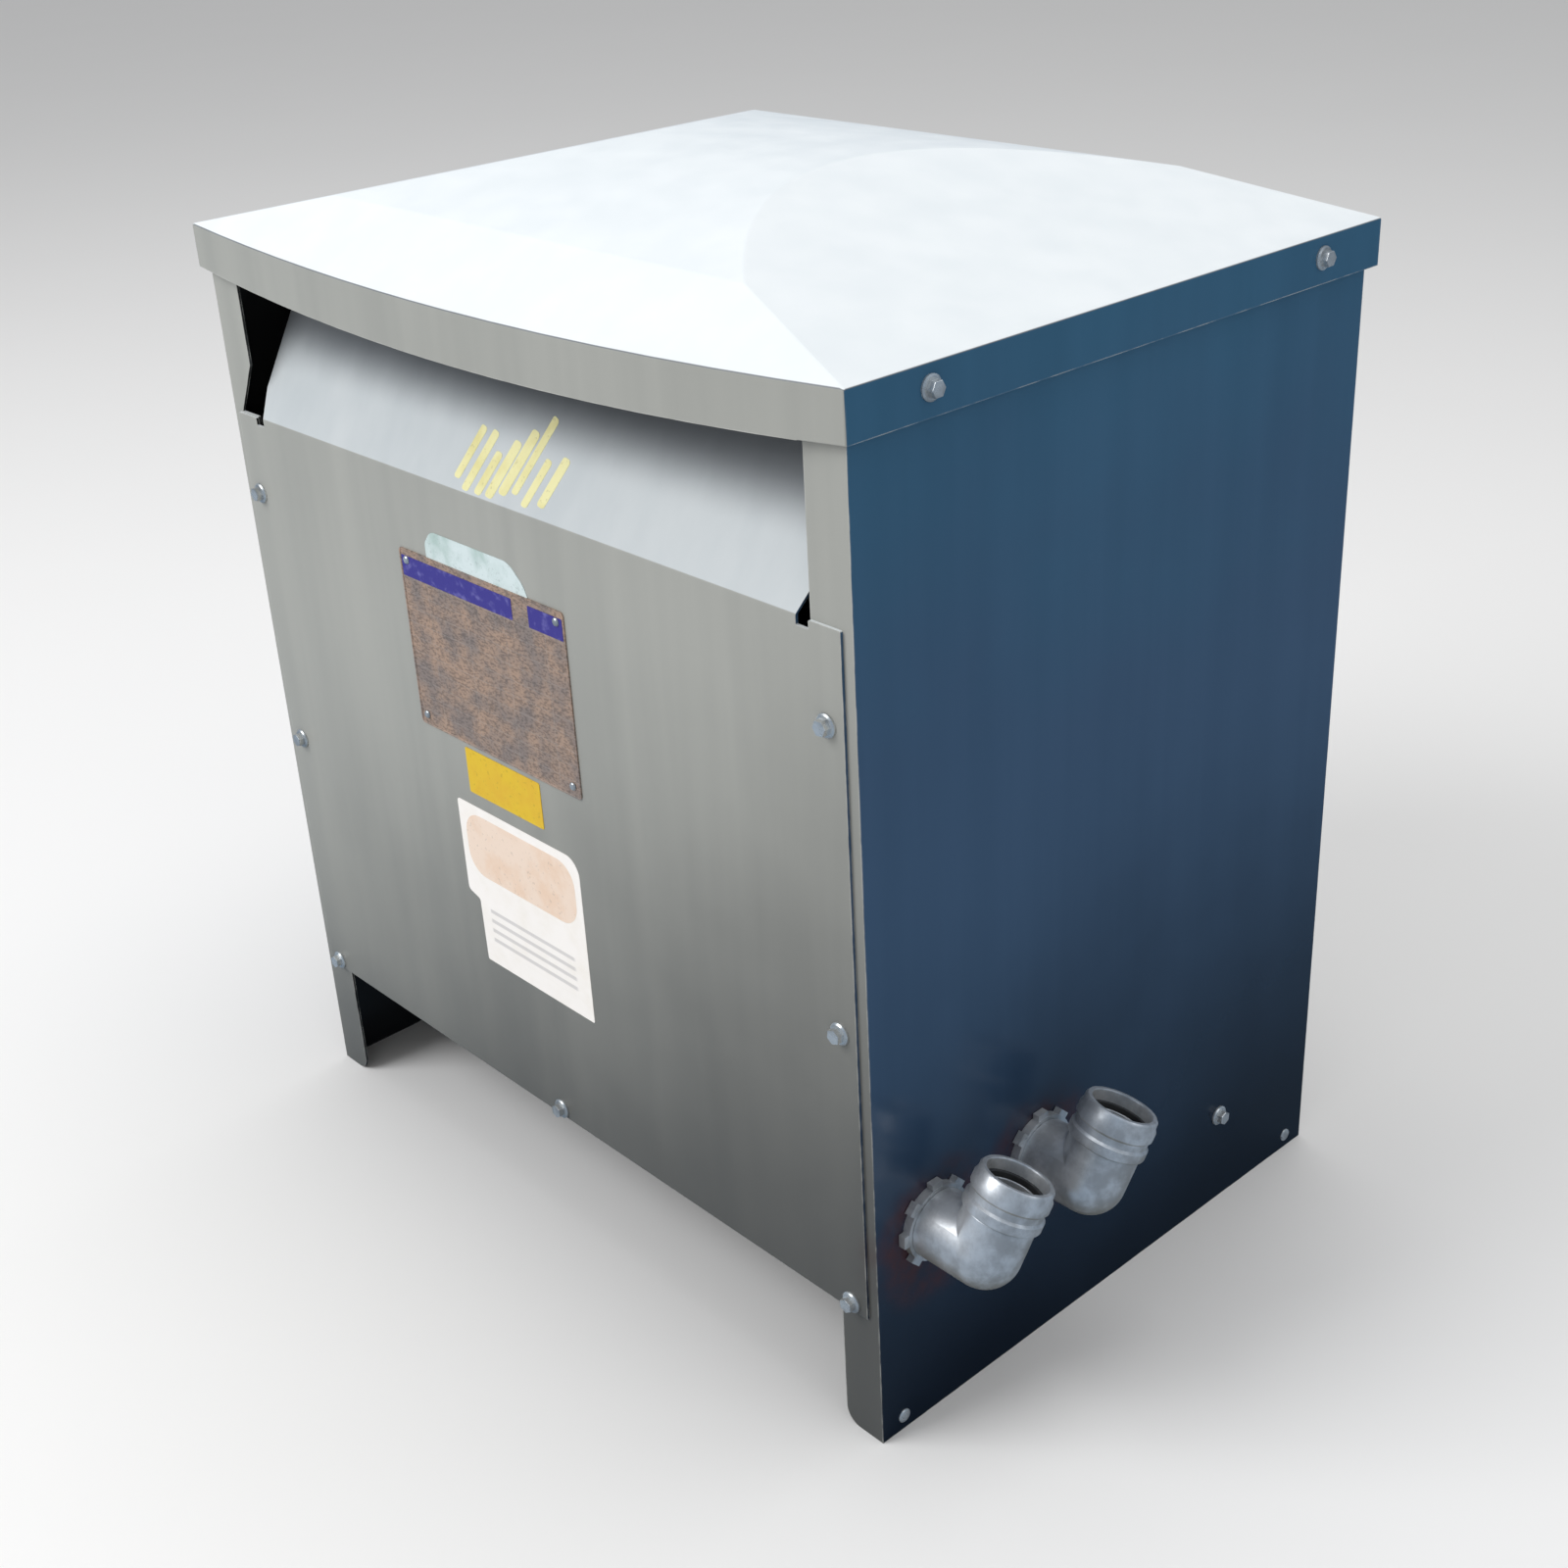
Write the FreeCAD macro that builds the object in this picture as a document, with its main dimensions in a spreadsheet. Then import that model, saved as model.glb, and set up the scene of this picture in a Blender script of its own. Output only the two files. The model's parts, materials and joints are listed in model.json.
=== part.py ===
import FreeCAD, Part
import math
import os

import Sketcher

# Ventilated dry-type power transformer in an outdoor sheet-metal cabinet, in millimetres.
# X runs left to right as one faces the front, the front faces -Y and Z is up.
# The origin is the centre of the cabinet's footprint, on the floor.

SIZES = {
    # cabinet
    "body_width": 650.0,
    "body_depth": 460.0,
    "sheet_gauge": 2.0,
    "flange_width": 33.0,
    "foot_radius": 12.0,
    "seat_gap": 0.3,
    "cut_margin": 1.0,
    # lid
    "eave_height": 708.0,
    "lid_overhang": 6.0,
    "skirt_height": 30.0,
    "eave_bow": 14.0,
    "skirt_droop": 12.5,
    "shoulder_run": 45.0,
    "shoulder_rise": 26.0,
    "roof_rise": 50.0,
    # front and rear covers
    "cover_inset": 8.0,
    "cover_bottom": 100.0,
    "cover_return": 16.0,
    "fold_height": 573.0,
    "hood_rise": 88.0,
    "hood_lean": 50.0,
    "hood_gap": 3.0,
    "relief_width": 7.0,
    "relief_depth": 6.0,
    "relief_taper": 20.0,
    "flange_cut_rise": 38.0,
    "flange_cut_run": 22.0,
    # base channels, pads and clamps
    "channel_offset": 122.0,
    "channel_width": 60.0,
    "channel_height": 40.0,
    "channel_base": 56.0,
    "channel_gauge": 3.0,
    "pad_height": 6.0,
    "pad_length": 60.0,
    "pad_offset": 150.0,
    "clamp_length": 410.0,
    "clamp_flange": 50.0,
    "clamp_gauge": 5.0,
    "tie_radius": 5.0,
    # core and coils
    "core_depth": 130.0,
    "leg_width": 75.0,
    "leg_pitch": 150.0,
    "yoke_height": 75.0,
    "window_height": 260.0,
    "coil_width": 140.0,
    "coil_build": 35.0,
    "coil_air": 3.0,
    "coil_radius": 28.0,
    "spacer_height": 10.0,
    "spacer_width": 40.0,
    # terminal board
    "board_length": 380.0,
    "board_height": 66.0,
    "board_thickness": 8.0,
    "lug_width": 16.0,
    "lug_depth": 14.0,
    "lug_height": 26.0,
    "lug_pitch": 55.0,
    # screws and bolts
    "screw_radius": 7.5,
    "screw_washer": 1.6,
    "screw_hex": 5.2,
    "screw_height": 5.0,
    "cover_screw_inset": 14.0,
    "cover_screw_low": 7.0,
    "cover_screw_top": 60.0,
    "cover_screw_middle": 262.0,
    "lid_screw_offset": 174.0,
    "lid_screw_drop": 13.5,
    "base_bolt_height": 76.0,
    "foot_screw_inset": 20.0,
    "foot_screw_height": 11.0,
    "foot_screw_radius": 5.0,
    # plates and stickers on the front cover
    "plate_width": 184.0,
    "plate_height": 132.0,
    "plate_centre": -26.0,
    "plate_base": 384.0,
    "plate_gauge": 1.0,
    "strip_width": 114.0,
    "strip_height": 20.0,
    "strip_centre": -28.0,
    "sticker_gauge": 0.4,
    "yellow_gap": 4.0,
    "yellow_width": 86.0,
    "yellow_height": 35.0,
    "yellow_centre": -25.0,
    "white_gap": 11.0,
    "white_width": 140.0,
    "white_height": 129.0,
    "white_centre": -17.0,
    "rivet_radius": 3.0,
    "rivet_height": 1.6,
    "rivet_inset": 8.0,
    # conduit elbows on the right-hand panel
    "elbow_front": 50.0,
    "elbow_pitch": 100.0,
    "elbow_height": 156.0,
    "elbow_offset": 45.0,
    "elbow_radius": 24.0,
    "elbow_lean": 8.0,
    "elbow_turn": 25.0,
    "elbow_reach": 42.0,
    "nipple_radius": 21.0,
    "nipple_tail": 16.0,
    "neck_radius": 22.5,
    "bore_radius": 17.5,
    "knockout_gap": 0.5,
    "ring_radius": 31.0,
    "ring_thickness": 6.0,
    "nut_radius": 26.5,
    "nut_start": 26.0,
    "nut_length": 28.0,
    "mouth_radius": 20.5,
    "mouth_length": 8.0,
    "seal_bore": 18.0,
}

HALF_WIDTH = "Sizes.body_width / 2"
HALF_DEPTH = "Sizes.body_depth / 2"
COVER_HALF = "(Sizes.body_width / 2 - Sizes.cover_inset)"
HOOD_HALF = "(Sizes.body_width / 2 - Sizes.flange_width - Sizes.hood_gap)"
CORE_BASE = "(Sizes.channel_base + Sizes.channel_height + Sizes.pad_height)"
COIL_BASE = "(" + CORE_BASE + " + Sizes.yoke_height + Sizes.spacer_height)"
COIL_HEIGHT = "(Sizes.window_height - 2 * Sizes.spacer_height)"
COIL_DEPTH = "(Sizes.core_depth + 2 * Sizes.coil_air + 2 * Sizes.coil_build)"
CORE_HEIGHT = "(Sizes.window_height + 2 * Sizes.yoke_height)"
UPPER_BASE = "({} + Sizes.yoke_height + Sizes.window_height)".format(CORE_BASE)
# the lid's end slopes rise to the ridge in a straight line, and the side panels stop just below them
END_SLOPE = "(Sizes.roof_rise / (Sizes.body_depth / 2 + Sizes.lid_overhang))"
END_DROP = "(Sizes.sheet_gauge * sqrt(1 + {} ^ 2))".format(END_SLOPE)
LID_UNDERSIDE = "(Sizes.eave_height + {} * Sizes.lid_overhang - {})".format(END_SLOPE, END_DROP)
PANEL_TOP = "({} - Sizes.seat_gap)".format(LID_UNDERSIDE)
# how near two numbers lie that count as the same place or the same direction
SAME_PLACE = 0.01
SAME_DIRECTION = 1e-6

doc = FreeCAD.newDocument("dry_type_transformer")
sheet = doc.addObject("Spreadsheet::Sheet", "Sizes")
nodes = {}


def fill_sheet():
    """Write each driving size, as text, beside its name."""
    for row, (name, number) in enumerate(SIZES.items(), start=1):
        sheet.set("A%d" % row, name)
        sheet.set("B%d" % row, str(number))
        sheet.setAlias("B%d" % row, name)
    doc.recompute()


def size(name):
    """One driving size, read back from the sheet."""
    return float(sheet.get(name))


def keep(part, label):
    """Register a finished sub-part under the name of its node."""
    part.Label = label
    nodes[label] = part
    return part


def bind(part, **expressions):
    """Bind properties to sheet expressions; a name such as Base_x is a place."""
    for name, expression in expressions.items():
        if name.startswith("Base_"):
            name = "Placement.Base." + name[-1]
        part.setExpression(name, expression)


# ---- helpers for sketched bodies ----------------------------------------------------

def origin_plane(body, role):
    """One of the body's own origin planes."""
    return next(item for item in body.Origin.OriginFeatures if item.Role == role)


def polygon(body, name, role, corners, offset=None):
    """A closed sketch whose corners are pairs of sheet expressions."""
    sketch = body.newObject("Sketcher::SketchObject", name)
    sketch.AttachmentSupport = [(origin_plane(body, role), "")]
    sketch.MapMode = "FlatFace"
    if offset:
        sketch.setExpression("AttachmentOffset.Base.z", offset)
    count = len(corners)
    ring = []
    for index in range(count):
        angle = 2 * math.pi * index / count
        ring.append(FreeCAD.Vector(math.cos(angle), math.sin(angle), 0) * size("body_width"))
    for index in range(count):
        sketch.addGeometry(Part.LineSegment(ring[index], ring[(index + 1) % count]))
    for index in range(count):
        sketch.addConstraint(Sketcher.Constraint("Coincident", index, 2, (index + 1) % count, 1))
    for index, corner in enumerate(corners):
        starts = (ring[index].x, ring[index].y)
        for kind, start, expression in zip(("DistanceX", "DistanceY"), starts, corner):
            place = sketch.addConstraint(Sketcher.Constraint(kind, -1, 1, index, 1, start))
            sketch.setExpression("Constraints[%d]" % place, expression)
    return sketch


def pad(body, name, sketch, length, both_ways=False):
    """Extrude a sketch into the body."""
    feature = body.newObject("PartDesign::Pad", name)
    feature.Profile = sketch
    feature.Midplane = both_ways
    feature.setExpression("Length", length)
    doc.recompute()
    return feature


def pocket(body, name, sketch, length, both_ways=True, backwards=False):
    """Cut a sketch out of the body, and make sure that it took something away."""
    before = body.Shape.Volume
    feature = body.newObject("PartDesign::Pocket", name)
    feature.Profile = sketch
    feature.Midplane = both_ways
    feature.Reversed = backwards
    feature.setExpression("Length", length)
    doc.recompute()
    if body.Shape.Volume >= before:
        raise RuntimeError(name + " cut nothing")
    return feature


def straight_edges(shape, direction, test):
    """Names of the edges that run along direction and whose middle passes the test."""
    names = []
    for index, edge in enumerate(shape.Edges, start=1):
        run = edge.Vertexes[-1].Point - edge.Vertexes[0].Point
        if run.Length == 0 or not test(edge.CenterOfMass):
            continue
        if abs(abs(run.normalize().dot(direction)) - 1) < SAME_DIRECTION:
            names.append("Edge%d" % index)
    return names


# ---- helpers for solids made of primitives -------------------------------------------

def box(name, length, width, height, x, y, z):
    """A block centred on x and y, standing on z."""
    block = doc.addObject("Part::Box", name)
    bind(block, Length=length, Width=width, Height=height, Base_z=z)
    bind(block, Base_x="({}) - ({}) / 2".format(x, length), Base_y="({}) - ({}) / 2".format(y, width))
    return block


def cut(name, base, tool):
    """Base with tool taken away."""
    result = doc.addObject("Part::Cut", name)
    result.Base = base
    result.Tool = tool
    return result


def join(name, parts):
    """Several solids in one node."""
    result = doc.addObject("Part::MultiFuse", name)
    result.Shapes = parts
    return result


def turn(axis, angle):
    """A rotation about an axis, in degrees."""
    return FreeCAD.Rotation(FreeCAD.Vector(*axis), angle)


def cylinder(name, radius, height, rotation, x, y, z):
    """A cylinder whose lower face is centred on x, y, z and which stands along rotation's Z."""
    rod = doc.addObject("Part::Cylinder", name)
    rod.Placement = FreeCAD.Placement(FreeCAD.Vector(), rotation)
    bind(rod, Radius=radius, Height=height, Base_x=x, Base_y=y, Base_z=z)
    return rod


def hex_prism(name, radius, height, rotation, x, y, z):
    """A hexagonal bar placed as a cylinder is."""
    bar = doc.addObject("Part::Prism", name)
    bar.Polygon = 6
    bar.Placement = FreeCAD.Placement(FreeCAD.Vector(), rotation)
    bind(bar, Circumradius=radius, Height=height, Base_x=x, Base_y=y, Base_z=z)
    return bar


# ---- cabinet --------------------------------------------------------------------------

def crown_arc(point, shoulder_half, shoulder, crest_half, crest):
    """An arc from a shoulder up to the crown, which it meets level."""
    run = abs(shoulder_half - crest_half)
    rise = crest - shoulder
    radius = (run * run + rise * rise) / (2 * rise)
    half_angle = math.asin(run / radius) / 2
    outwards = math.copysign(1, shoulder_half)
    middle = crest_half + outwards * radius * math.sin(half_angle)
    middle_height = crest - radius + radius * math.cos(half_angle)
    return Part.Arc(point(shoulder_half, shoulder), point(middle, middle_height), point(crest_half, crest))


def end_slopes(half_x, half_y, inset_drop, low, droop, reach):
    """The space under the two end slopes, which rise straight from the eaves to a level ridge."""
    slope = size("roof_rise") / (size("body_depth") / 2 + size("lid_overhang"))
    eave = size("eave_height") - inset_drop(slope)
    ridge = eave + slope * half_y
    ridge_half = half_x - half_y

    def point(across, up):
        return FreeCAD.Vector(across, -reach, up)

    corners = [
        point(half_x, low), point(half_x, eave), point(ridge_half, ridge),
        point(-ridge_half, ridge), point(-half_x, eave), point(-half_x, low),
    ]
    edges = [Part.LineSegment(*pair).toShape() for pair in zip(corners, corners[1:])]
    edges.append(Part.Arc(corners[-1], point(0, low - droop), corners[0]).toShape())
    return Part.Face(Part.Wire(edges)).extrude(FreeCAD.Vector(0, 2 * reach, 0)), ridge


def arched_slopes(half_y, wall_half, ridge, inset_drop, low, reach):
    """The space under the front and rear slopes: straight to a shoulder, then arched to the ridge."""
    slope = size("shoulder_rise") / size("shoulder_run")
    edge_height = size("eave_height") - inset_drop(slope)
    shoulder_half = half_y - size("shoulder_run")
    shoulder = edge_height + size("shoulder_rise")
    eave = edge_height - slope * (wall_half - half_y)

    def point(across, up):
        return FreeCAD.Vector(-reach, across, up)

    edges = [
        Part.LineSegment(point(-wall_half, low), point(-wall_half, eave)),
        Part.LineSegment(point(-wall_half, eave), point(-shoulder_half, shoulder)),
        crown_arc(point, -shoulder_half, shoulder, 0, ridge),
        crown_arc(point, shoulder_half, shoulder, 0, ridge),
        Part.LineSegment(point(shoulder_half, shoulder), point(wall_half, eave)),
        Part.LineSegment(point(wall_half, eave), point(wall_half, low)),
        Part.LineSegment(point(wall_half, low), point(-wall_half, low)),
    ]
    outline = Part.sortEdges([edge.toShape() for edge in edges])[0]
    return Part.Face(Part.Wire(outline)).extrude(FreeCAD.Vector(2 * reach, 0, 0))


def lid_block(inset, low):
    """The space under the lid's surface, or under its inner surface, one sheet further in."""
    half_x = size("body_width") / 2 + size("lid_overhang") - inset
    half_y = size("body_depth") / 2 + size("lid_overhang") - inset
    bow = size("eave_bow")
    droop = size("skirt_droop")

    def inset_drop(slope):
        # the inner surface lies one sheet below a slope, measured square to it
        return inset * (math.sqrt(1 + slope * slope) - slope)

    ends, ridge = end_slopes(half_x, half_y, inset_drop, low, droop, half_y + bow)
    sides = arched_slopes(half_y, half_y + bow, ridge, inset_drop, low - droop, half_x)
    corners = [
        FreeCAD.Vector(-half_x, -half_y, 0),
        FreeCAD.Vector(half_x, -half_y, 0),
        FreeCAD.Vector(half_x, half_y, 0),
        FreeCAD.Vector(-half_x, half_y, 0),
    ]
    outline = Part.Wire([
        Part.Arc(corners[0], FreeCAD.Vector(0, -half_y - bow, 0), corners[1]).toShape(),
        Part.LineSegment(corners[1], corners[2]).toShape(),
        Part.Arc(corners[2], FreeCAD.Vector(0, half_y + bow, 0), corners[3]).toShape(),
        Part.LineSegment(corners[3], corners[0]).toShape(),
    ])
    column = Part.Face(outline).extrude(FreeCAD.Vector(0, 0, size("eave_height") + size("roof_rise")))
    return ends.common(sides).common(column)


def make_lid():
    """The hipped lid: a thin shell with a bowed, drooping skirt at the front and rear."""
    gauge = size("sheet_gauge")
    skirt = size("eave_height") - size("skirt_height")
    outside = lid_block(0.0, skirt)
    inside = lid_block(gauge, skirt - gauge)
    lid = doc.addObject("Part::Feature", "lid_shell")
    lid.Shape = outside.cut(inside).removeSplitter()
    lid.Placement = FreeCAD.Placement()
    keep(lid, "lid")


def make_side_panel(label, angle, knockouts, cut_flange):
    """A full-height panel with a flange at the front and rear, drawn for the right-hand side."""
    body = doc.addObject("PartDesign::Body", label + "_body")
    inner = "({} - Sizes.sheet_gauge)".format(HALF_WIDTH)
    lip = "({} - Sizes.flange_width)".format(HALF_WIDTH)
    deep = "({} - Sizes.sheet_gauge)".format(HALF_DEPTH)
    section = polygon(body, label + "_section", "XY_Plane", [
        (lip, "-" + HALF_DEPTH), (HALF_WIDTH, "-" + HALF_DEPTH),
        (HALF_WIDTH, HALF_DEPTH), (lip, HALF_DEPTH),
        (lip, deep), (inner, deep), (inner, "-" + deep), (lip, "-" + deep)])
    sheet_pad = pad(body, label + "_sheet", section, PANEL_TOP)
    if cut_flange:
        # seen from the turned panel, the cabinet's front flange is the rear one
        notch = polygon(body, label + "_notch", "XZ_Plane", [
            (lip, "Sizes.fold_height"), (lip + " + Sizes.flange_cut_run", "Sizes.fold_height"),
            (lip, "Sizes.fold_height + Sizes.flange_cut_rise")])
        sheet_pad = pocket(body, label + "_flange_cut", notch, HALF_DEPTH, both_ways=False)
    if knockouts:
        sheet_pad = cut_knockouts(body, label)
    low_inner = straight_edges(body.Shape, FreeCAD.Vector(0, 1, 0), is_free_foot_corner)
    rounding = body.newObject("PartDesign::Fillet", label + "_foot_rounding")
    rounding.Base = (sheet_pad, low_inner)
    rounding.setExpression("Radius", "Sizes.foot_radius")
    doc.recompute()
    body.Placement = FreeCAD.Placement(FreeCAD.Vector(), turn((0, 0, 1), angle))
    keep(body, label)


def is_free_foot_corner(middle):
    """True at the floor end of a flange's free edge."""
    lip = size("body_width") / 2 - size("flange_width")
    return abs(middle.z) < SAME_PLACE and abs(middle.x - lip) < SAME_PLACE


def cut_knockouts(body, label):
    """The two round holes that the conduit nipples pass through."""
    sketch = body.newObject("Sketcher::SketchObject", label + "_knockout_circles")
    sketch.AttachmentSupport = [(origin_plane(body, "YZ_Plane"), "")]
    sketch.MapMode = "FlatFace"
    for index, across in enumerate(elbow_places()):
        guess = FreeCAD.Vector(-index * size("elbow_pitch"), size("elbow_height"), 0)
        sketch.addGeometry(Part.Circle(guess, FreeCAD.Vector(0, 0, 1), size("nipple_radius")))
        for kind, expression in (("DistanceX", across), ("DistanceY", "Sizes.elbow_height")):
            place = sketch.addConstraint(Sketcher.Constraint(kind, -1, 1, index, 3, 1.0))
            sketch.setExpression("Constraints[%d]" % place, expression)
        place = sketch.addConstraint(Sketcher.Constraint("Radius", index, size("nipple_radius")))
        sketch.setExpression("Constraints[%d]" % place, "Sizes.nipple_radius + Sizes.knockout_gap")
    return pocket(body, label + "_knockouts", sketch, HALF_WIDTH, both_ways=False, backwards=True)


def elbow_places():
    """How far along Y each elbow's nipple stands, as sheet expressions."""
    first = "(Sizes.elbow_front - Sizes.body_depth / 2)"
    return [first, "({} + Sizes.elbow_pitch)".format(first)]


def make_cover(label, angle):
    """A folded cover drawn for the front: face, bottom return and inward-leaning hood."""
    body = doc.addObject("PartDesign::Body", label + "_body")
    hood_shift = "(Sizes.sheet_gauge * sqrt(1 + (Sizes.hood_lean / Sizes.hood_rise) ^ 2))"
    face = "(-{} - Sizes.sheet_gauge)".format(HALF_DEPTH)
    back = "(-{})".format(HALF_DEPTH)
    hood_top = "(Sizes.fold_height + Sizes.hood_rise)"
    inner_drop = "(({} - Sizes.sheet_gauge) * Sizes.hood_rise / Sizes.hood_lean)".format(hood_shift)
    inner_fold = "(Sizes.fold_height - {})".format(inner_drop)
    section = polygon(body, label + "_section", "YZ_Plane", [
        (face, "Sizes.cover_bottom"), (face, "Sizes.fold_height"),
        (face + " + Sizes.hood_lean", hood_top), (face + " + Sizes.hood_lean + " + hood_shift, hood_top),
        (back, inner_fold), (back, "Sizes.cover_bottom + Sizes.sheet_gauge"),
        (back + " + Sizes.cover_return", "Sizes.cover_bottom + Sizes.sheet_gauge"),
        (back + " + Sizes.cover_return", "Sizes.cover_bottom")])
    pad(body, label + "_sheet", section, "2 * " + COVER_HALF, both_ways=True)
    for side, sign in (("left", "-"), ("right", "")):
        relief_side = "({} - Sizes.relief_width)".format(HOOD_HALF)
        ear = "({} + Sizes.hood_gap)".format(HOOD_HALF)
        beyond = "({} + Sizes.cover_inset)".format(COVER_HALF)
        low = "(Sizes.fold_height - Sizes.relief_depth)"
        above = hood_top + " + Sizes.cut_margin"
        corners = [
            (relief_side, low), (ear, low), (ear, inner_fold), (beyond, inner_fold),
            (beyond, above), (HOOD_HALF, above),
            (HOOD_HALF, "Sizes.fold_height + Sizes.relief_taper"), (relief_side, "Sizes.fold_height")]
        notch = polygon(body, label + "_notch_" + side, "XZ_Plane", [(sign + x, z) for x, z in corners])
        pocket(body, label + "_ear_" + side, notch, "2 * Sizes.body_depth")
    past_return = back + " + 2 * Sizes.cover_return"
    return_end = "({} - Sizes.hood_gap)".format(HOOD_HALF)
    for side, sign in (("left", "-"), ("right", "")):
        corners = [
            (sign + COVER_HALF, back), (sign + return_end, back),
            (sign + return_end, past_return), (sign + COVER_HALF, past_return)]
        shorten = polygon(body, label + "_return_end_" + side, "XY_Plane", corners)
        pocket(body, label + "_short_return_" + side, shorten, "2 * Sizes.cover_bottom + Sizes.body_depth")
    body.Placement = FreeCAD.Placement(FreeCAD.Vector(), turn((0, 0, 1), angle))
    keep(body, label)


# ---- base, core and coils --------------------------------------------------------------

def make_base_channel(label, side):
    """A channel, open below, that spans the side panels and carries the core."""
    place = side + " * Sizes.channel_offset"
    length = "(Sizes.body_width - 2 * Sizes.sheet_gauge)"
    inner_width = "(Sizes.channel_width - 2 * Sizes.channel_gauge)"
    inner_height = "(Sizes.channel_height - Sizes.channel_gauge)"
    outer = box(label + "_outer", length, "Sizes.channel_width", "Sizes.channel_height", "0", place,
                "Sizes.channel_base")
    hollow = box(label + "_hollow", length + " - 2 * Sizes.channel_gauge", inner_width, inner_height,
                 "0", place, "Sizes.channel_base")
    keep(cut(label + "_cut", outer, hollow), label)


def make_pads():
    """Four rubber pads between the base channels and the lower clamps."""
    pads = []
    clamp_edge = "(Sizes.core_depth / 2 + Sizes.clamp_flange)"
    channel_edge = "(Sizes.channel_offset - Sizes.channel_width / 2)"
    width = "({} - {})".format(clamp_edge, channel_edge)
    for x_sign in ("-", ""):
        for y_sign in ("-", ""):
            name = "pad_%d" % len(pads)
            place = "{}({} + {}) / 2".format(y_sign, clamp_edge, channel_edge)
            pads.append(box(name, "Sizes.pad_length", width, "Sizes.pad_height",
                            x_sign + "Sizes.pad_offset", place,
                            "Sizes.channel_base + Sizes.channel_height"))
    keep(join("pads", pads), "isolation_pads")


def make_core():
    """The three-legged stack of steel laminations."""
    length = "(2 * Sizes.leg_pitch + Sizes.leg_width)"
    stack = box("core_stack", length, "Sizes.core_depth", CORE_HEIGHT, "0", "0", CORE_BASE)
    windows = []
    for sign in ("-", ""):
        windows.append(box("window_%d" % len(windows), "Sizes.leg_pitch - Sizes.leg_width",
                           "Sizes.core_depth + 2 * Sizes.cut_margin", "Sizes.window_height",
                           sign + "Sizes.leg_pitch / 2", "0", CORE_BASE + " + Sizes.yoke_height"))
    keep(cut("core_cut", stack, join("windows", windows)), "laminated_core")


def make_coil(label, place):
    """One phase's winding: a rounded tube of rectangular section round its leg."""
    body = doc.addObject("PartDesign::Body", label + "_body")
    section = polygon(body, label + "_section", "XY_Plane", rectangle("Sizes.coil_width", COIL_DEPTH))
    block = pad(body, label + "_block", section, COIL_HEIGHT)
    upright = straight_edges(body.Shape, FreeCAD.Vector(0, 0, 1), lambda middle: True)
    rounding = body.newObject("PartDesign::Fillet", label + "_rounding")
    rounding.Base = (block, upright)
    rounding.setExpression("Radius", "Sizes.coil_radius")
    doc.recompute()
    hole = polygon(body, label + "_hole", "XY_Plane", rectangle(
        "(Sizes.leg_width + 2 * Sizes.coil_air)", "(Sizes.core_depth + 2 * Sizes.coil_air)"))
    pocket(body, label + "_bore", hole, "2 * " + COIL_HEIGHT)
    bind(body, Base_x=place, Base_z=COIL_BASE)
    keep(body, label)


def rectangle(length, width):
    """The corners of a centred rectangle."""
    half_length = "{} / 2".format(length)
    half_width = "{} / 2".format(width)
    return [("-" + half_length, "-" + half_width), (half_length, "-" + half_width),
            (half_length, half_width), ("-" + half_length, half_width)]


def make_spacers():
    """Insulating blocks between the clamps' flanges and the ends of each coil."""
    blocks = []
    inner = "(Sizes.core_depth / 2 + Sizes.coil_air)"
    for level in (CORE_BASE + " + Sizes.yoke_height", COIL_BASE + " + " + COIL_HEIGHT):
        for x in ("-Sizes.leg_pitch", "0", "Sizes.leg_pitch"):
            for sign in ("-", ""):
                y = "{}({} + Sizes.coil_build / 2)".format(sign, inner)
                blocks.append(box("spacer_%d" % len(blocks), "Sizes.spacer_width", "Sizes.coil_build",
                                  "Sizes.spacer_height", x, y, level))
    keep(join("spacers", blocks), "coil_spacers")


def make_clamp(label, side, base):
    """A channel, open outwards, against one face of a yoke."""
    place = "{} * (Sizes.core_depth + Sizes.clamp_flange) / 2".format(side)
    hollow_place = "({}) + {} * Sizes.clamp_gauge".format(place, side)
    hollow_length = "(Sizes.clamp_length + 2 * Sizes.cut_margin)"
    hollow_height = "(Sizes.yoke_height - 2 * Sizes.clamp_gauge)"
    outer = box(label + "_outer", "Sizes.clamp_length", "Sizes.clamp_flange", "Sizes.yoke_height",
                "0", place, base)
    hollow = box(label + "_hollow", hollow_length, "Sizes.clamp_flange", hollow_height, "0", hollow_place,
                 base + " + Sizes.clamp_gauge")
    keep(cut(label + "_cut", outer, hollow), label)


def make_tie_bolts():
    """Four rods that draw the clamps together past the ends of the yokes."""
    rods = []
    reach = "((2 * Sizes.leg_pitch + Sizes.leg_width + Sizes.clamp_length) / 4)"
    for base in (CORE_BASE, UPPER_BASE):
        for sign in ("-", ""):
            rods.append(cylinder("tie_%d" % len(rods), "Sizes.tie_radius", "Sizes.core_depth",
                                 turn((1, 0, 0), -90), sign + reach, "-Sizes.core_depth / 2",
                                 base + " + Sizes.yoke_height / 2"))
    keep(join("ties", rods), "clamp_tie_bolts")


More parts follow.
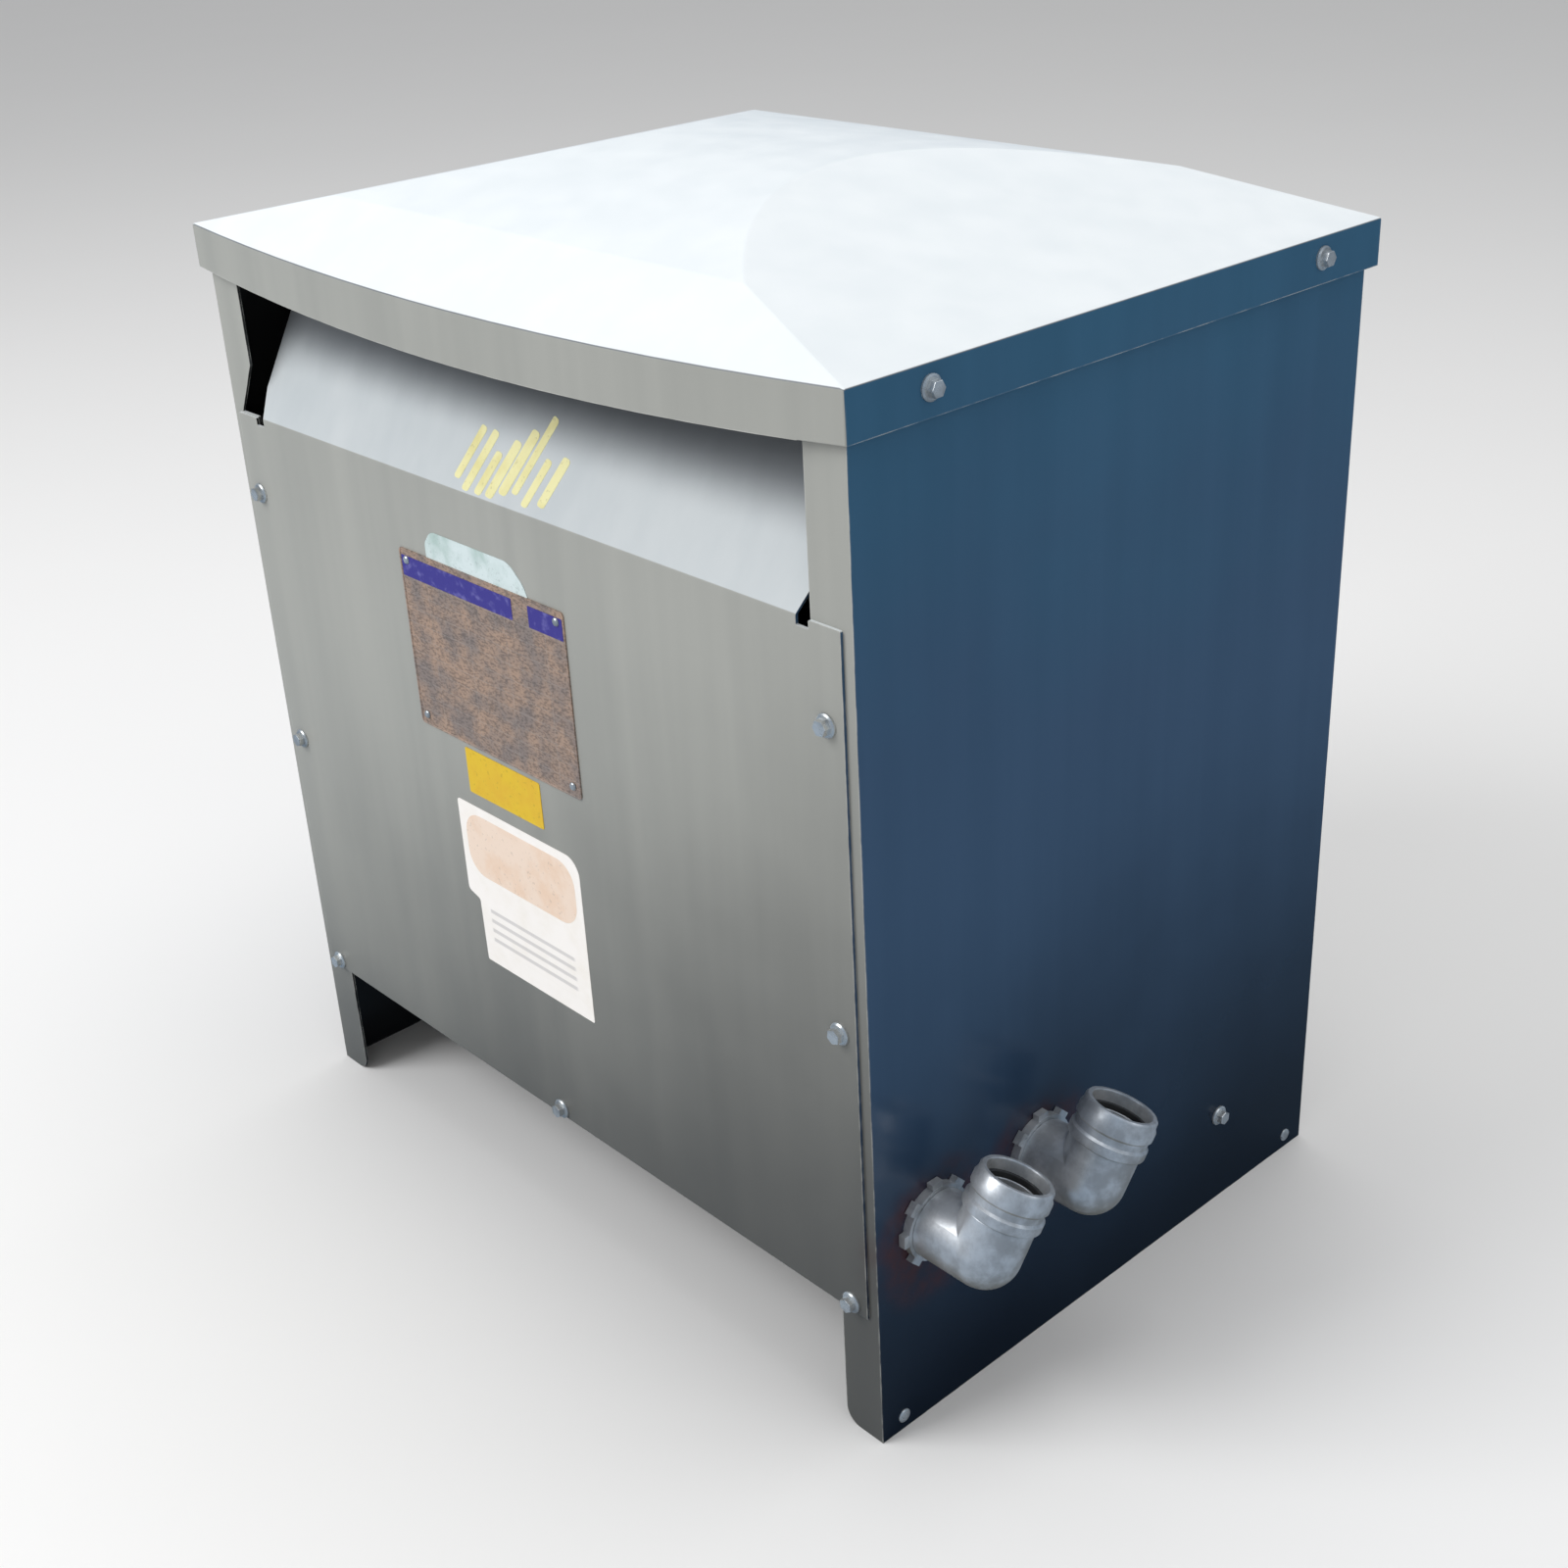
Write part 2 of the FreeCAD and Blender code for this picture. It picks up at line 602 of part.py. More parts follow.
def make_terminals():
    """The insulating board on the lower front clamp, and its row of lugs."""
    clamp_edge = "(Sizes.core_depth / 2 + Sizes.clamp_flange)"
    middle = "({} + Sizes.yoke_height / 2)".format(CORE_BASE)
    board = box("board", "Sizes.board_length", "Sizes.board_thickness", "Sizes.board_height", "0",
                "-{} - Sizes.board_thickness / 2".format(clamp_edge), middle + " - Sizes.board_height / 2")
    keep(board, "terminal_board")
    lugs = []
    for step in (-3, -2, -1, 0, 1, 2, 3):
        lugs.append(box("lug_%d" % len(lugs), "Sizes.lug_width", "Sizes.lug_depth", "Sizes.lug_height",
                        "%d * Sizes.lug_pitch" % step,
                        "-{} - Sizes.board_thickness - Sizes.lug_depth / 2".format(clamp_edge),
                        middle + " - Sizes.lug_height / 2"))
    keep(join("lugs", lugs), "terminal_lugs")


# ---- screws, plates and stickers ---------------------------------------------------------

def screw(name, rotation, place, outward):
    """A hexagon head on its round washer face, standing out of a sheet."""
    x, y, z = place
    flange = cylinder(name + "_flange", "Sizes.screw_radius", "Sizes.screw_washer", rotation, x, y, z)
    lift = [" + {} * Sizes.screw_washer".format(step) if step else "" for step in outward]
    head = hex_prism(name + "_hex", "Sizes.screw_hex", "Sizes.screw_height", rotation,
                     x + lift[0], y + lift[1], z + lift[2])
    return join(name, [flange, head])


def make_cover_screws(label, side):
    """Three screws up each edge of a cover and one in the middle of its lower edge."""
    rotation = turn((1, 0, 0), 90 if side < 0 else -90)
    y = "{} * ({} + Sizes.sheet_gauge)".format(side, HALF_DEPTH)
    low = "(Sizes.cover_bottom + Sizes.cover_screw_low)"
    places = [("0", low)]
    for sign in ("-", ""):
        edge = "{}({} - Sizes.cover_screw_inset)".format(sign, COVER_HALF)
        places += [(edge, low), (edge, "Sizes.fold_height - Sizes.cover_screw_middle"),
                   (edge, "Sizes.fold_height - Sizes.cover_screw_top")]
    screws = []
    for x, z in places:
        screws.append(screw("%s_%d" % (label, len(screws)), rotation, (x, y, z), (0, side, 0)))
    keep(join(label + "_all", screws), label)


def make_side_screws(label, reach, across, height):
    """Two screws on each side of the cabinet."""
    screws = []
    for side in (-1, 1):
        rotation = turn((0, 1, 0), 90 * side)
        for sign in ("-", ""):
            screws.append(screw("%s_%d" % (label, len(screws)), rotation,
                                ("{} * ({})".format(side, reach), sign + across, height), (side, 0, 0)))
    keep(join(label + "_all", screws), label)


def make_foot_screws():
    """One small round-headed screw near each corner of the two side panels."""
    heads = []
    for side in (-1, 1):
        for sign in ("-", ""):
            x = "{} * {}".format(side, HALF_WIDTH)
            y = "{}({} - Sizes.foot_screw_inset)".format(sign, HALF_DEPTH)
            heads.append(cylinder("foot_screw_%d" % len(heads), "Sizes.foot_screw_radius",
                                  "Sizes.screw_washer", turn((0, 1, 0), 90 * side), x, y,
                                  "Sizes.foot_screw_height"))
    keep(join("foot_screws_all", heads), "foot_screws")


def make_labels():
    """The metal plate, the strip above it and the two stickers below it."""
    face = "-({} + Sizes.sheet_gauge)".format(HALF_DEPTH)
    film = face + " - Sizes.sticker_gauge / 2"
    plate = box("plate", "Sizes.plate_width", "Sizes.plate_gauge", "Sizes.plate_height",
                "Sizes.plate_centre", face + " - Sizes.plate_gauge / 2", "Sizes.plate_base")
    keep(plate, "rating_plate")
    strip = box("strip", "Sizes.strip_width", "Sizes.sticker_gauge", "Sizes.strip_height",
                "Sizes.strip_centre", film, "Sizes.plate_base + Sizes.plate_height")
    keep(strip, "pale_strip")
    yellow_base = "(Sizes.plate_base - Sizes.yellow_gap - Sizes.yellow_height)"
    yellow = box("yellow", "Sizes.yellow_width", "Sizes.sticker_gauge", "Sizes.yellow_height",
                 "Sizes.yellow_centre", film, yellow_base)
    keep(yellow, "yellow_sticker")
    white = box("white", "Sizes.white_width", "Sizes.sticker_gauge", "Sizes.white_height",
                "Sizes.white_centre", film, yellow_base + " - Sizes.white_gap - Sizes.white_height")
    keep(white, "white_sticker")
    rivets = []
    for x_sign in ("-", ""):
        x = "Sizes.plate_centre + {}(Sizes.plate_width / 2 - Sizes.rivet_inset)".format(x_sign)
        for z in ("Sizes.plate_base + Sizes.rivet_inset",
                  "Sizes.plate_base + Sizes.plate_height - Sizes.rivet_inset"):
            rivets.append(cylinder("rivet_%d" % len(rivets), "Sizes.rivet_radius", "Sizes.rivet_height",
                                   turn((1, 0, 0), 90), x, face + " - Sizes.plate_gauge", z))
    keep(join("rivets", rivets), "plate_rivets")


# ---- conduit elbows ------------------------------------------------------------------------

def hub_rotation():
    """The hub's direction: nearly upright, turned towards the rear and leaning off the panel."""
    return turn((1, 0, 0), -size("elbow_turn")).multiply(turn((0, 1, 0), size("elbow_lean")))


def along_hub(name, radius, start, length, place):
    """A cylinder along the hub's axis, from start to start + length past the elbow's centre."""
    rotation = hub_rotation()
    direction = rotation.multVec(FreeCAD.Vector(0, 0, 1))
    x, y, z = ["{} + {:.9f} * ({})".format(at, part, start) for at, part in zip(place, direction)]
    return cylinder(name, radius, length, rotation, x, y, z)


def along_panel_axis(name, radius, start, end, place):
    """A cylinder square to the panel, between two distances from the panel's outer face."""
    return cylinder(name, radius, "({}) - ({})".format(end, start), turn((0, 1, 0), 90),
                    "{} + {}".format(HALF_WIDTH, start), place[1], place[2])


def ball(name, radius, place):
    """A sphere about a place."""
    sphere = doc.addObject("Part::Sphere", name)
    bind(sphere, Radius=radius, Base_x=place[0], Base_y=place[1], Base_z=place[2])
    return sphere


def make_elbow(suffix, across):
    """One conduit elbow: body with nipple, two panel rings, compression nut and seal."""
    place = ("({} + Sizes.elbow_offset)".format(HALF_WIDTH), across, "Sizes.elbow_height")

    def square_to_panel(name, radius, start, end):
        return along_panel_axis(name + "_" + suffix, "Sizes." + radius, start, end, place)

    def hub(name, radius, start, length):
        return along_hub(name + "_" + suffix, "Sizes." + radius, start, length, place)

    def knee(name, radius):
        return ball(name + "_" + suffix, "Sizes." + radius, place)

    solid = join("elbow_solid_" + suffix, [
        square_to_panel("nipple", "nipple_radius", "-Sizes.nipple_tail", "Sizes.elbow_offset"),
        square_to_panel("barrel", "elbow_radius", "Sizes.ring_thickness", "Sizes.elbow_offset"),
        knee("knee", "elbow_radius"),
        hub("neck", "neck_radius", "0", "Sizes.elbow_reach"),
        hub("collar", "elbow_radius", "0", "Sizes.nut_start - 2 * Sizes.seat_gap")])
    way = join("elbow_way_" + suffix, [
        square_to_panel("way_in", "bore_radius", "-Sizes.nipple_tail - Sizes.cut_margin",
                        "Sizes.elbow_offset"),
        knee("way_knee", "bore_radius"),
        hub("way_out", "bore_radius", "0", "Sizes.elbow_reach + Sizes.cut_margin")])
    keep(cut("elbow_cut_" + suffix, solid, way), "conduit_elbow_" + suffix)

    inside = "(-Sizes.sheet_gauge)"
    for label, start in (("ring", "0"), ("locknut", inside + " - Sizes.ring_thickness")):
        end = "({} + Sizes.ring_thickness)".format(start)
        disc = square_to_panel(label + "_disc", "ring_radius", start, end)
        hole = square_to_panel(label + "_hole", "nipple_radius", start + " - Sizes.cut_margin",
                               end + " + Sizes.cut_margin")
        keep(cut(label + "_cut_" + suffix, disc, hole), "conduit_%s_%s" % (label, suffix))

    lip = "(Sizes.nut_start + Sizes.nut_length - Sizes.mouth_length)"
    nut = hub("nut_bar", "nut_radius", "Sizes.nut_start", "Sizes.nut_length")
    nut_way = join("nut_way_" + suffix, [
        hub("nut_thread", "neck_radius", "Sizes.nut_start - Sizes.cut_margin",
            lip + " - Sizes.nut_start + Sizes.cut_margin"),
        hub("nut_mouth", "mouth_radius", lip + " - Sizes.cut_margin",
            "Sizes.mouth_length + 2 * Sizes.cut_margin")])
    keep(cut("nut_" + suffix, nut, nut_way), "conduit_nut_" + suffix)

    seal_length = "({} - Sizes.elbow_reach)".format(lip)
    seal = hub("seal_disc", "neck_radius", "Sizes.elbow_reach", seal_length)
    seal_hole = hub("seal_hole", "seal_bore", "Sizes.elbow_reach - Sizes.cut_margin",
                    seal_length + " + 2 * Sizes.cut_margin")
    keep(cut("seal_" + suffix, seal, seal_hole), "conduit_seal_" + suffix)


def export_nodes():
    """Recompute, make sure that everything is sound, then write one STEP file a node."""
    doc.recompute()
    for item in doc.Objects:
        if "Invalid" in item.State or "Error" in item.State:
            raise RuntimeError("failed: " + item.Label)
    for label, part in nodes.items():
        if part.Shape.isNull() or not part.Shape.isValid() or not part.Shape.Solids:
            raise RuntimeError("not a sound solid: " + label)
    os.makedirs("parts", exist_ok=True)
    for label, part in nodes.items():
        part.Shape.exportStep("parts/%s.step" % label)


fill_sheet()
make_side_panel("side_panel_right", 0, True, False)
make_side_panel("side_panel_left", 180, False, True)
make_cover("front_cover", 0)
make_cover("rear_cover", 180)
make_lid()
make_base_channel("base_channel_front", "-1")
make_base_channel("base_channel_rear", "1")
make_pads()
make_core()
make_coil("coil_left", "-Sizes.leg_pitch")
make_coil("coil_middle", "0")
make_coil("coil_right", "Sizes.leg_pitch")
make_spacers()
for end, base in (("lower", CORE_BASE), ("upper", UPPER_BASE)):
    make_clamp(end + "_clamp_front", "-1", base)
    make_clamp(end + "_clamp_rear", "1", base)
make_tie_bolts()
make_terminals()
make_cover_screws("front_cover_screws", -1)
make_cover_screws("rear_cover_screws", 1)
make_side_screws("lid_screws", HALF_WIDTH + " + Sizes.lid_overhang", "Sizes.lid_screw_offset",
                 "Sizes.eave_height - Sizes.lid_screw_drop")
make_side_screws("base_bolts", HALF_WIDTH, "Sizes.channel_offset", "Sizes.base_bolt_height")
make_foot_screws()
make_labels()
for suffix, across in zip(("front", "rear"), elbow_places()):
    make_elbow(suffix, across)
export_nodes()
print("nodes:", len(nodes))
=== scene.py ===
import json
import math
from random import Random

import bmesh
import bpy
from mathutils import Matrix, Vector


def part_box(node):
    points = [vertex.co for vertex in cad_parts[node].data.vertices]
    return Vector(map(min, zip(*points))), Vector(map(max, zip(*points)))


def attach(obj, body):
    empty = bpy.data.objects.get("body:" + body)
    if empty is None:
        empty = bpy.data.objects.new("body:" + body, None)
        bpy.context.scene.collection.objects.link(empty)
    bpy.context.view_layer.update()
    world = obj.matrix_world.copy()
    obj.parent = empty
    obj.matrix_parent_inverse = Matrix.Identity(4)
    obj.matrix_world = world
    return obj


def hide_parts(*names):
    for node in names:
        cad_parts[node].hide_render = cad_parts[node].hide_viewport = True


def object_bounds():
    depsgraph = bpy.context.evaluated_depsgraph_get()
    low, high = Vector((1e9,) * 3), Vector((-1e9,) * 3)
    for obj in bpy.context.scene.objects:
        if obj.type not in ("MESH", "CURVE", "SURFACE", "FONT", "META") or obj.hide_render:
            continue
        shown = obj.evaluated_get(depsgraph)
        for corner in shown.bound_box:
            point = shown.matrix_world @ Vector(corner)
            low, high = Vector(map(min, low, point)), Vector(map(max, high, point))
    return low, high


bl_info = {
    "name": "Dry-type transformer finish",
    "version": (1, 0, 0),
    "blender": (4, 5, 0),
    "location": "3D View > Sidebar > Transformer",
    "description": "Finishes and small parts of a ventilated power transformer in a sheet-metal cabinet",
    "category": "Object",
}

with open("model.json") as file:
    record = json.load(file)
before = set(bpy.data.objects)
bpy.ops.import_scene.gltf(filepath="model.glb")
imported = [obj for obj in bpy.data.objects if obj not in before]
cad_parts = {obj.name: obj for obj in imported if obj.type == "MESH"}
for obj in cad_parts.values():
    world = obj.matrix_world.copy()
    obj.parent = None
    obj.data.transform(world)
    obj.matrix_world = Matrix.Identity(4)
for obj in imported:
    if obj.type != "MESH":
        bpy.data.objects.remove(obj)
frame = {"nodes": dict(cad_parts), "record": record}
NODES = frame["nodes"]
CAD_BOX = [list(corner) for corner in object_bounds()]
MM = 0.001
WELD = 0.01 * MM
TOUCH = 0.05 * MM
FRONT = Vector((0, -1, 0))


# ---- settings a user may change ----

def colour(label, note, value):
    """A colour property."""
    return bpy.props.FloatVectorProperty(
        name=label, description=note, subtype="COLOR", min=0, max=1, default=value)


def number(label, note, value, **kind):
    """A number property of any kind."""
    return bpy.props.FloatProperty(name=label, description=note, default=value, **kind)


def length(label, note, value):
    """A length property, in metres."""
    return number(label, note, value, unit="LENGTH", min=0, precision=4)


def count(label, note, value, least, most):
    """A whole number property."""
    return bpy.props.IntProperty(name=label, description=note, min=least, max=most, default=value)


class CabinetFinish(bpy.types.PropertyGroup):
    """Colours and wear of the painted cabinet, and the light and shade painted into its colours."""

    front: colour("Front", "Enamel on the faces that look forwards or back", (0.36, 0.365, 0.34))
    # Painted light: the hoods are the front's enamel, painted lighter because they lean back towards the
    # light.
    hood: colour("Hood", "Enamel on the leaning hoods", (0.56, 0.6, 0.62))
    # Painted shadow: the lid's skirt shades the top of the hoods.
    hood_shade: colour("Hood shade", "Grime on the hoods close under the lid", (0.17, 0.185, 0.2))
    # Painted shade: the faces inside the cabinet, in shadow, painted nearly black.
    inside: colour("Inside", "Dull primer inside the cabinet", (0.012, 0.013, 0.014))
    # Painted shade and reflection: the sides' enamel is the front's grey; this slate blue stands in for blue
    # skylight in shade and the dark ground mirrored in their gloss.
    side: colour("Side", "Enamel on the two glossy side panels", (0.036, 0.078, 0.15))
    # Painted reflection: a lighter blue high on the sides.
    eave_painted_reflection: colour("Eave", "Enamel high on the sides", (0.03, 0.105, 0.19))
    # Painted light: the lid's upward faces are the same enamel, painted near white by the light from above.
    top: colour("Top", "Enamel on the faces that look up", (0.78, 0.82, 0.84))
    # Painted shade: the front darker towards the floor.
    foot: colour("Foot", "Darker tone towards the floor", (0.088, 0.089, 0.084))
    # Painted shade: the sides near black towards the floor.
    side_foot_painted_shade: colour("Side foot", "Darker tone of the sides towards the floor", (0.0015, 0.004, 0.011))
    # Partly wear, partly painted highlight: pale paint along folds and cut edges, where the paint is thin
    # and where light catches the rounded folds.
    worn: colour("Worn edge", "Thin paint along folds and cut edges", (0.62, 0.63, 0.6))
    stain: colour("Stain", "Rusty wash round the conduit elbows", (0.06, 0.016, 0.012))
    wear_width: length("Wear width", "How far the worn paint reaches from an edge", 1.4 * MM)
    stain_reach: length("Stain reach", "How far the stain spreads round an elbow", 62 * MM)


class SheetFolds(bpy.types.PropertyGroup):
    """Rounding of the folded sheet."""

    gauge: length("Gauge", "Thickness of the cabinet's sheet", 2 * MM)
    fold: length("Fold radius", "Outer radius of a fold", 2.6 * MM)
    inner_fold: length("Inner fold radius", "Inner radius of a fold", 0.8 * MM)
    cut_edge: length("Cut edge", "Rounding of a cut edge", 0.35 * MM)
    steps: count("Fold steps", "Facets across a fold", 4, 1, 8)


class Hardware(bpy.types.PropertyGroup):
    """Shapes of the screw heads and the conduit fittings."""

    socket_depth: length("Recess", "Depth of the dish in a hexagon head", 0.5 * MM)
    rib_rise: length("Rib rise", "How far a nut's ribs stand out", 1.6 * MM)
    teeth: count("Teeth", "Teeth on a panel ring", 8, 4, 16)
    zinc: colour("Zinc", "Bright plated screws", (0.72, 0.74, 0.74))
    cast: colour("Cast zinc", "Dull cast conduit fittings", (0.8, 0.82, 0.84))
    tan: colour("Tan", "Dried dirt on the fittings' undersides", (0.34, 0.29, 0.2))


class Labels(bpy.types.PropertyGroup):
    """Colours and details of the plate and the blank stickers."""

    plate: colour("Plate", "Etched metal of the plate", (0.34, 0.27, 0.235))
    band: colour("Band", "Dark band along the top of the plate", (0.045, 0.032, 0.26))
    yellow: colour("Yellow", "Yellow sticker", (0.76, 0.51, 0.01))
    white: colour("White", "White sticker", (0.95, 0.92, 0.89))
    faded: colour("Faded bar", "Pale bar across the white sticker", (0.86, 0.7, 0.58))
    strip: colour("Strip", "Pale strip above the plate", (0.66, 0.76, 0.77))
    paint: colour("Paint marks", "Brushed marks on the hood", (0.84, 0.8, 0.42))
    band_height: length("Band height", "Height of the dark band", 15 * MM)
    corner: length("Corner radius", "Rounding of the plate's corners", 3 * MM)


class StageSettings(bpy.types.PropertyGroup):
    """Floor, lights and camera."""

    floor: colour("Floor", "Plain pale floor", (0.86, 0.86, 0.86))
    mirrored: colour("Mirrored", "What gloss mirrors from the floor and surroundings", (0.16, 0.24, 0.34))
    floor_size: length("Floor size", "Side of the square floor", 60.0)
    key: number("Key light", "Power of the soft key light", 118, unit="POWER")
    fill: number("Fill light", "Power of the side light", 14, unit="POWER")
    top: number("Top light", "Power of the light overhead", 40, unit="POWER")
    sky: number("Sky", "Strength of the pale surroundings", 0.52, min=0)
    lens: number("Lens", "Focal length", 48.165, unit="CAMERA")
    azimuth: number("Azimuth", "Camera's turn round the cabinet", math.radians(48.696), subtype="ANGLE")
    elevation: number("Elevation", "Camera's angle above the horizon", math.radians(26.928), subtype="ANGLE")
    roll: number("Roll", "Camera's turn about its own view", math.radians(-3.156), subtype="ANGLE")
    place: bpy.props.FloatVectorProperty(
        name="Place", description="Camera's position", subtype="TRANSLATION",
        default=(1.0675, -0.93691, 1.00653))


SETTINGS = {
    "cabinet_finish": CabinetFinish,
    "sheet_folds": SheetFolds,
    "fittings": Hardware,
    "labels": Labels,
    "stage": StageSettings,
}


def scaled(tone, shares):
    """A colour whose parts are each multiplied by a share."""
    return [part * share for part, share in zip(tone, shares)]


# ---- shader helpers ----

def add_node(tree, kind, inputs=(), **settings):
    """Add a node, set its properties, then fill its inputs with values or with other sockets."""
    made = tree.nodes.new(kind)
    for name, value in settings.items():
        setattr(made, name, value)
    for key, value in dict(inputs).items():
        if isinstance(value, bpy.types.NodeSocket):
            tree.links.new(value, made.inputs[key])
        else:
            made.inputs[key].default_value = value
    return made


def mix(tree, factor, first, second, blend="MIX"):
    """Two colours mixed by a factor; a colour is a socket or three parts."""
    inputs = {0: factor}
    for place, tone in ((6, first), (7, second)):
        inputs[place] = tone if isinstance(tone, bpy.types.NodeSocket) else (*tone, 1.0)
    return add_node(tree, "ShaderNodeMix", inputs, data_type="RGBA", blend_type=blend).outputs[2]


def calc(tree, operation, first, second=0.0):
    """One arithmetic step."""
    return add_node(tree, "ShaderNodeMath", {0: first, 1: second}, operation=operation).outputs[0]


def times(tree, first, second):
    """Two values multiplied."""
    return calc(tree, "MULTIPLY", first, second)


def spread(tree, value, low, high, to_low=0.0, to_high=1.0):
    """A value carried smoothly from one range to another."""
    inputs = {0: value, 1: low, 2: high, 3: to_low, 4: to_high}
    return add_node(tree, "ShaderNodeMapRange", inputs, interpolation_type="SMOOTHSTEP").outputs[0]


def object_place(tree):
    """The surface's own coordinates, in metres."""
    return add_node(tree, "ShaderNodeTexCoord").outputs["Object"]


def split(tree, kind="Object"):
    """X, Y and Z of the surface's own coordinates, or of its normal."""
    vector = add_node(tree, "ShaderNodeTexCoord").outputs[kind]
    return add_node(tree, "ShaderNodeSeparateXYZ", {0: vector}).outputs


def ridges(tree, along, pitch):
    """A wave between -1 and 1 that repeats at a pitch."""
    return calc(tree, "SINE", times(tree, along, 2 * math.pi / pitch))


def stretched(tree, scale):
    """Object coordinates stretched by a scale along each axis."""
    return add_node(tree, "ShaderNodeMapping", {"Vector": object_place(tree), "Scale": scale}).outputs[0]


def noise(tree, scale, detail=3.0, vector=None, roughness=0.55):
    """A cloudy value between 0 and 1."""
    inputs = {"Scale": scale, "Detail": detail, "Roughness": roughness}
    inputs["Vector"] = vector or object_place(tree)
    return add_node(tree, "ShaderNodeTexNoise", inputs).outputs["Fac"]


def shader_group(name, inputs, outputs):
    """An empty shader group, with what it is given and what it returns."""
    kinds = {"number": "NodeSocketFloat", "vector": "NodeSocketVector"}
    group = bpy.data.node_groups.new(name, "ShaderNodeTree")
    for socket, (kind, value) in inputs.items():
        group.interface.new_socket(socket, in_out="INPUT", socket_type=kinds[kind]).default_value = value
    for socket, kind in outputs.items():
        group.interface.new_socket(socket, in_out="OUTPUT", socket_type=kinds[kind])
    return group, group.nodes.new("NodeGroupInput").outputs, group.nodes.new("NodeGroupOutput").inputs


def worn_edges_group():
    """Mask: 1 on folds and cut edges, broken up by noise."""
    group, given, result = shader_group(
        "Worn edges", {"Width": ("number", MM), "Breakup": ("number", 60.0)}, {"Mask": "number"})
    soft = add_node(group, "ShaderNodeBevel", {"Radius": given["Width"]}, samples=6)
    flat = add_node(group, "ShaderNodeNewGeometry")
    normals = {0: soft.outputs[0], 1: flat.outputs["Normal"]}
    alike = add_node(group, "ShaderNodeVectorMath", normals, operation="DOT_PRODUCT").outputs["Value"]
    edge = spread(group, calc(group, "SUBTRACT", 1.0, alike), 0.01, 0.12)
    patches = spread(group, noise(group, given["Breakup"], 4.0), 0.38, 0.62, 0.15, 1.0)
    group.links.new(times(group, edge, patches), result["Mask"])
    return group


def facing_group():
    """Masks of the faces that look sideways, lean back, look up or look into the cabinet."""
    group, _, result = shader_group(
        "Facing", {}, {"Side": "number", "Lean": "number", "Up": "number", "Inner": "number"})
    parts = split(group, "Normal")
    sideways = calc(group, "ABSOLUTE", parts["X"])
    group.links.new(spread(group, sideways, 0.55, 0.85), result["Side"])
    group.links.new(spread(group, parts["Z"], 0.25, 0.45), result["Lean"])
    group.links.new(spread(group, parts["Z"], 0.55, 0.8), result["Up"])
    place = split(group)
    across = times(group, parts["X"], place["X"])
    outwards = calc(group, "ADD", across, times(group, parts["Y"], place["Y"]))
    group.links.new(spread(group, outwards, -0.1, -0.05, 1.0, 0.0), result["Inner"])
    return group


def height_group():
    """Mask that falls from 1 at the floor to 0 at a height, with a cloudy edge."""
    group, given, result = shader_group(
        "Near the floor",
        {"Low": ("number", 0.0), "High": ("number", 0.6), "Cloud": ("number", 0.1), "Tilt": ("number", 0.0)},
        {"Mask": "number"})
    place = split(group)
    height = calc(group, "SUBTRACT", place["Z"], times(group, place["X"], given["Tilt"]))
    cloud = times(group, calc(group, "SUBTRACT", noise(group, 5.0), 0.5), given["Cloud"])
    shifted = calc(group, "ADD", height, cloud)
    group.links.new(spread(group, shifted, given["Low"], given["High"], 1.0, 0.0), result["Mask"])
    return group


def halo_group():
    """Mask round a point, broken up by noise: a stain."""
    group, given, result = shader_group(
        "Stain", {"Centre": ("vector", (0, 0, 0)), "Reach": ("number", 0.05)}, {"Mask": "number"})
    ends = {0: object_place(group), 1: given["Centre"]}
    gap = add_node(group, "ShaderNodeVectorMath", ends, operation="DISTANCE").outputs["Value"]
    near = spread(group, calc(group, "DIVIDE", gap, given["Reach"]), 0.55, 1.0, 1.0, 0.0)
    cloud = spread(group, noise(group, 38.0, 5.0), 0.35, 0.65, 0.25, 1.0)
    group.links.new(times(group, near, cloud), result["Mask"])
    return group


def streaks_group():
    """Faint upright run marks and specks, between 0 and 1."""
    group, given, result = shader_group("Run marks", {"Scale": ("number", 30.0)}, {"Value": "number"})
    runs = noise(group, given["Scale"], 3.0, stretched(group, (1.0, 1.0, 0.05)))
    clouds = noise(group, 4.0, 2.0)
    group.links.new(calc(group, "MULTIPLY_ADD", runs, 0.6), result["Value"])
    adder = result["Value"].links[0].from_node
    group.links.new(times(group, clouds, 0.4), adder.inputs[2])
    return group


def grain_group():
    """Height of a fine surface grain over a slow waviness, for a bump."""
    group, given, result = shader_group(
        "Surface grain", {"Grain": ("number", 900.0), "Wave": ("number", 7.0), "Share": ("number", 0.5)},
        {"Height": "number"})
    fine = times(group, noise(group, given["Grain"], 1.0), given["Share"])
    slow = noise(group, given["Wave"], 1.0)
    group.links.new(calc(group, "ADD", fine, slow), result["Height"])
    return group


GROUPS = {
    "worn": worn_edges_group,
    "facing": facing_group,
    "low": height_group,
    "stain": halo_group,
    "runs": streaks_group,
    "grain": grain_group,
}
effects = {}
finishes = {}


def effect(tree, name, inputs=()):
    """Place one of the shared groups in a material and return its outputs."""
    if name not in effects:
        effects[name] = GROUPS[name]()
    made = tree.nodes.new("ShaderNodeGroup")
    made.node_tree = effects[name]
    for key, value in dict(inputs).items():
        made.inputs[key].default_value = value
    return made.outputs


def blank_material(name, **sockets):
    """A material's node tree and its shader, with even values set on the shader's own sockets."""
    material = bpy.data.materials.new(name)
    material.use_nodes = True
    tree = material.node_tree
    shader = tree.nodes["Principled BSDF"]
    for socket, value in sockets.items():
        shader.inputs[socket.replace("_", " ")].default_value = value
    finishes[name] = material
    return tree, shader


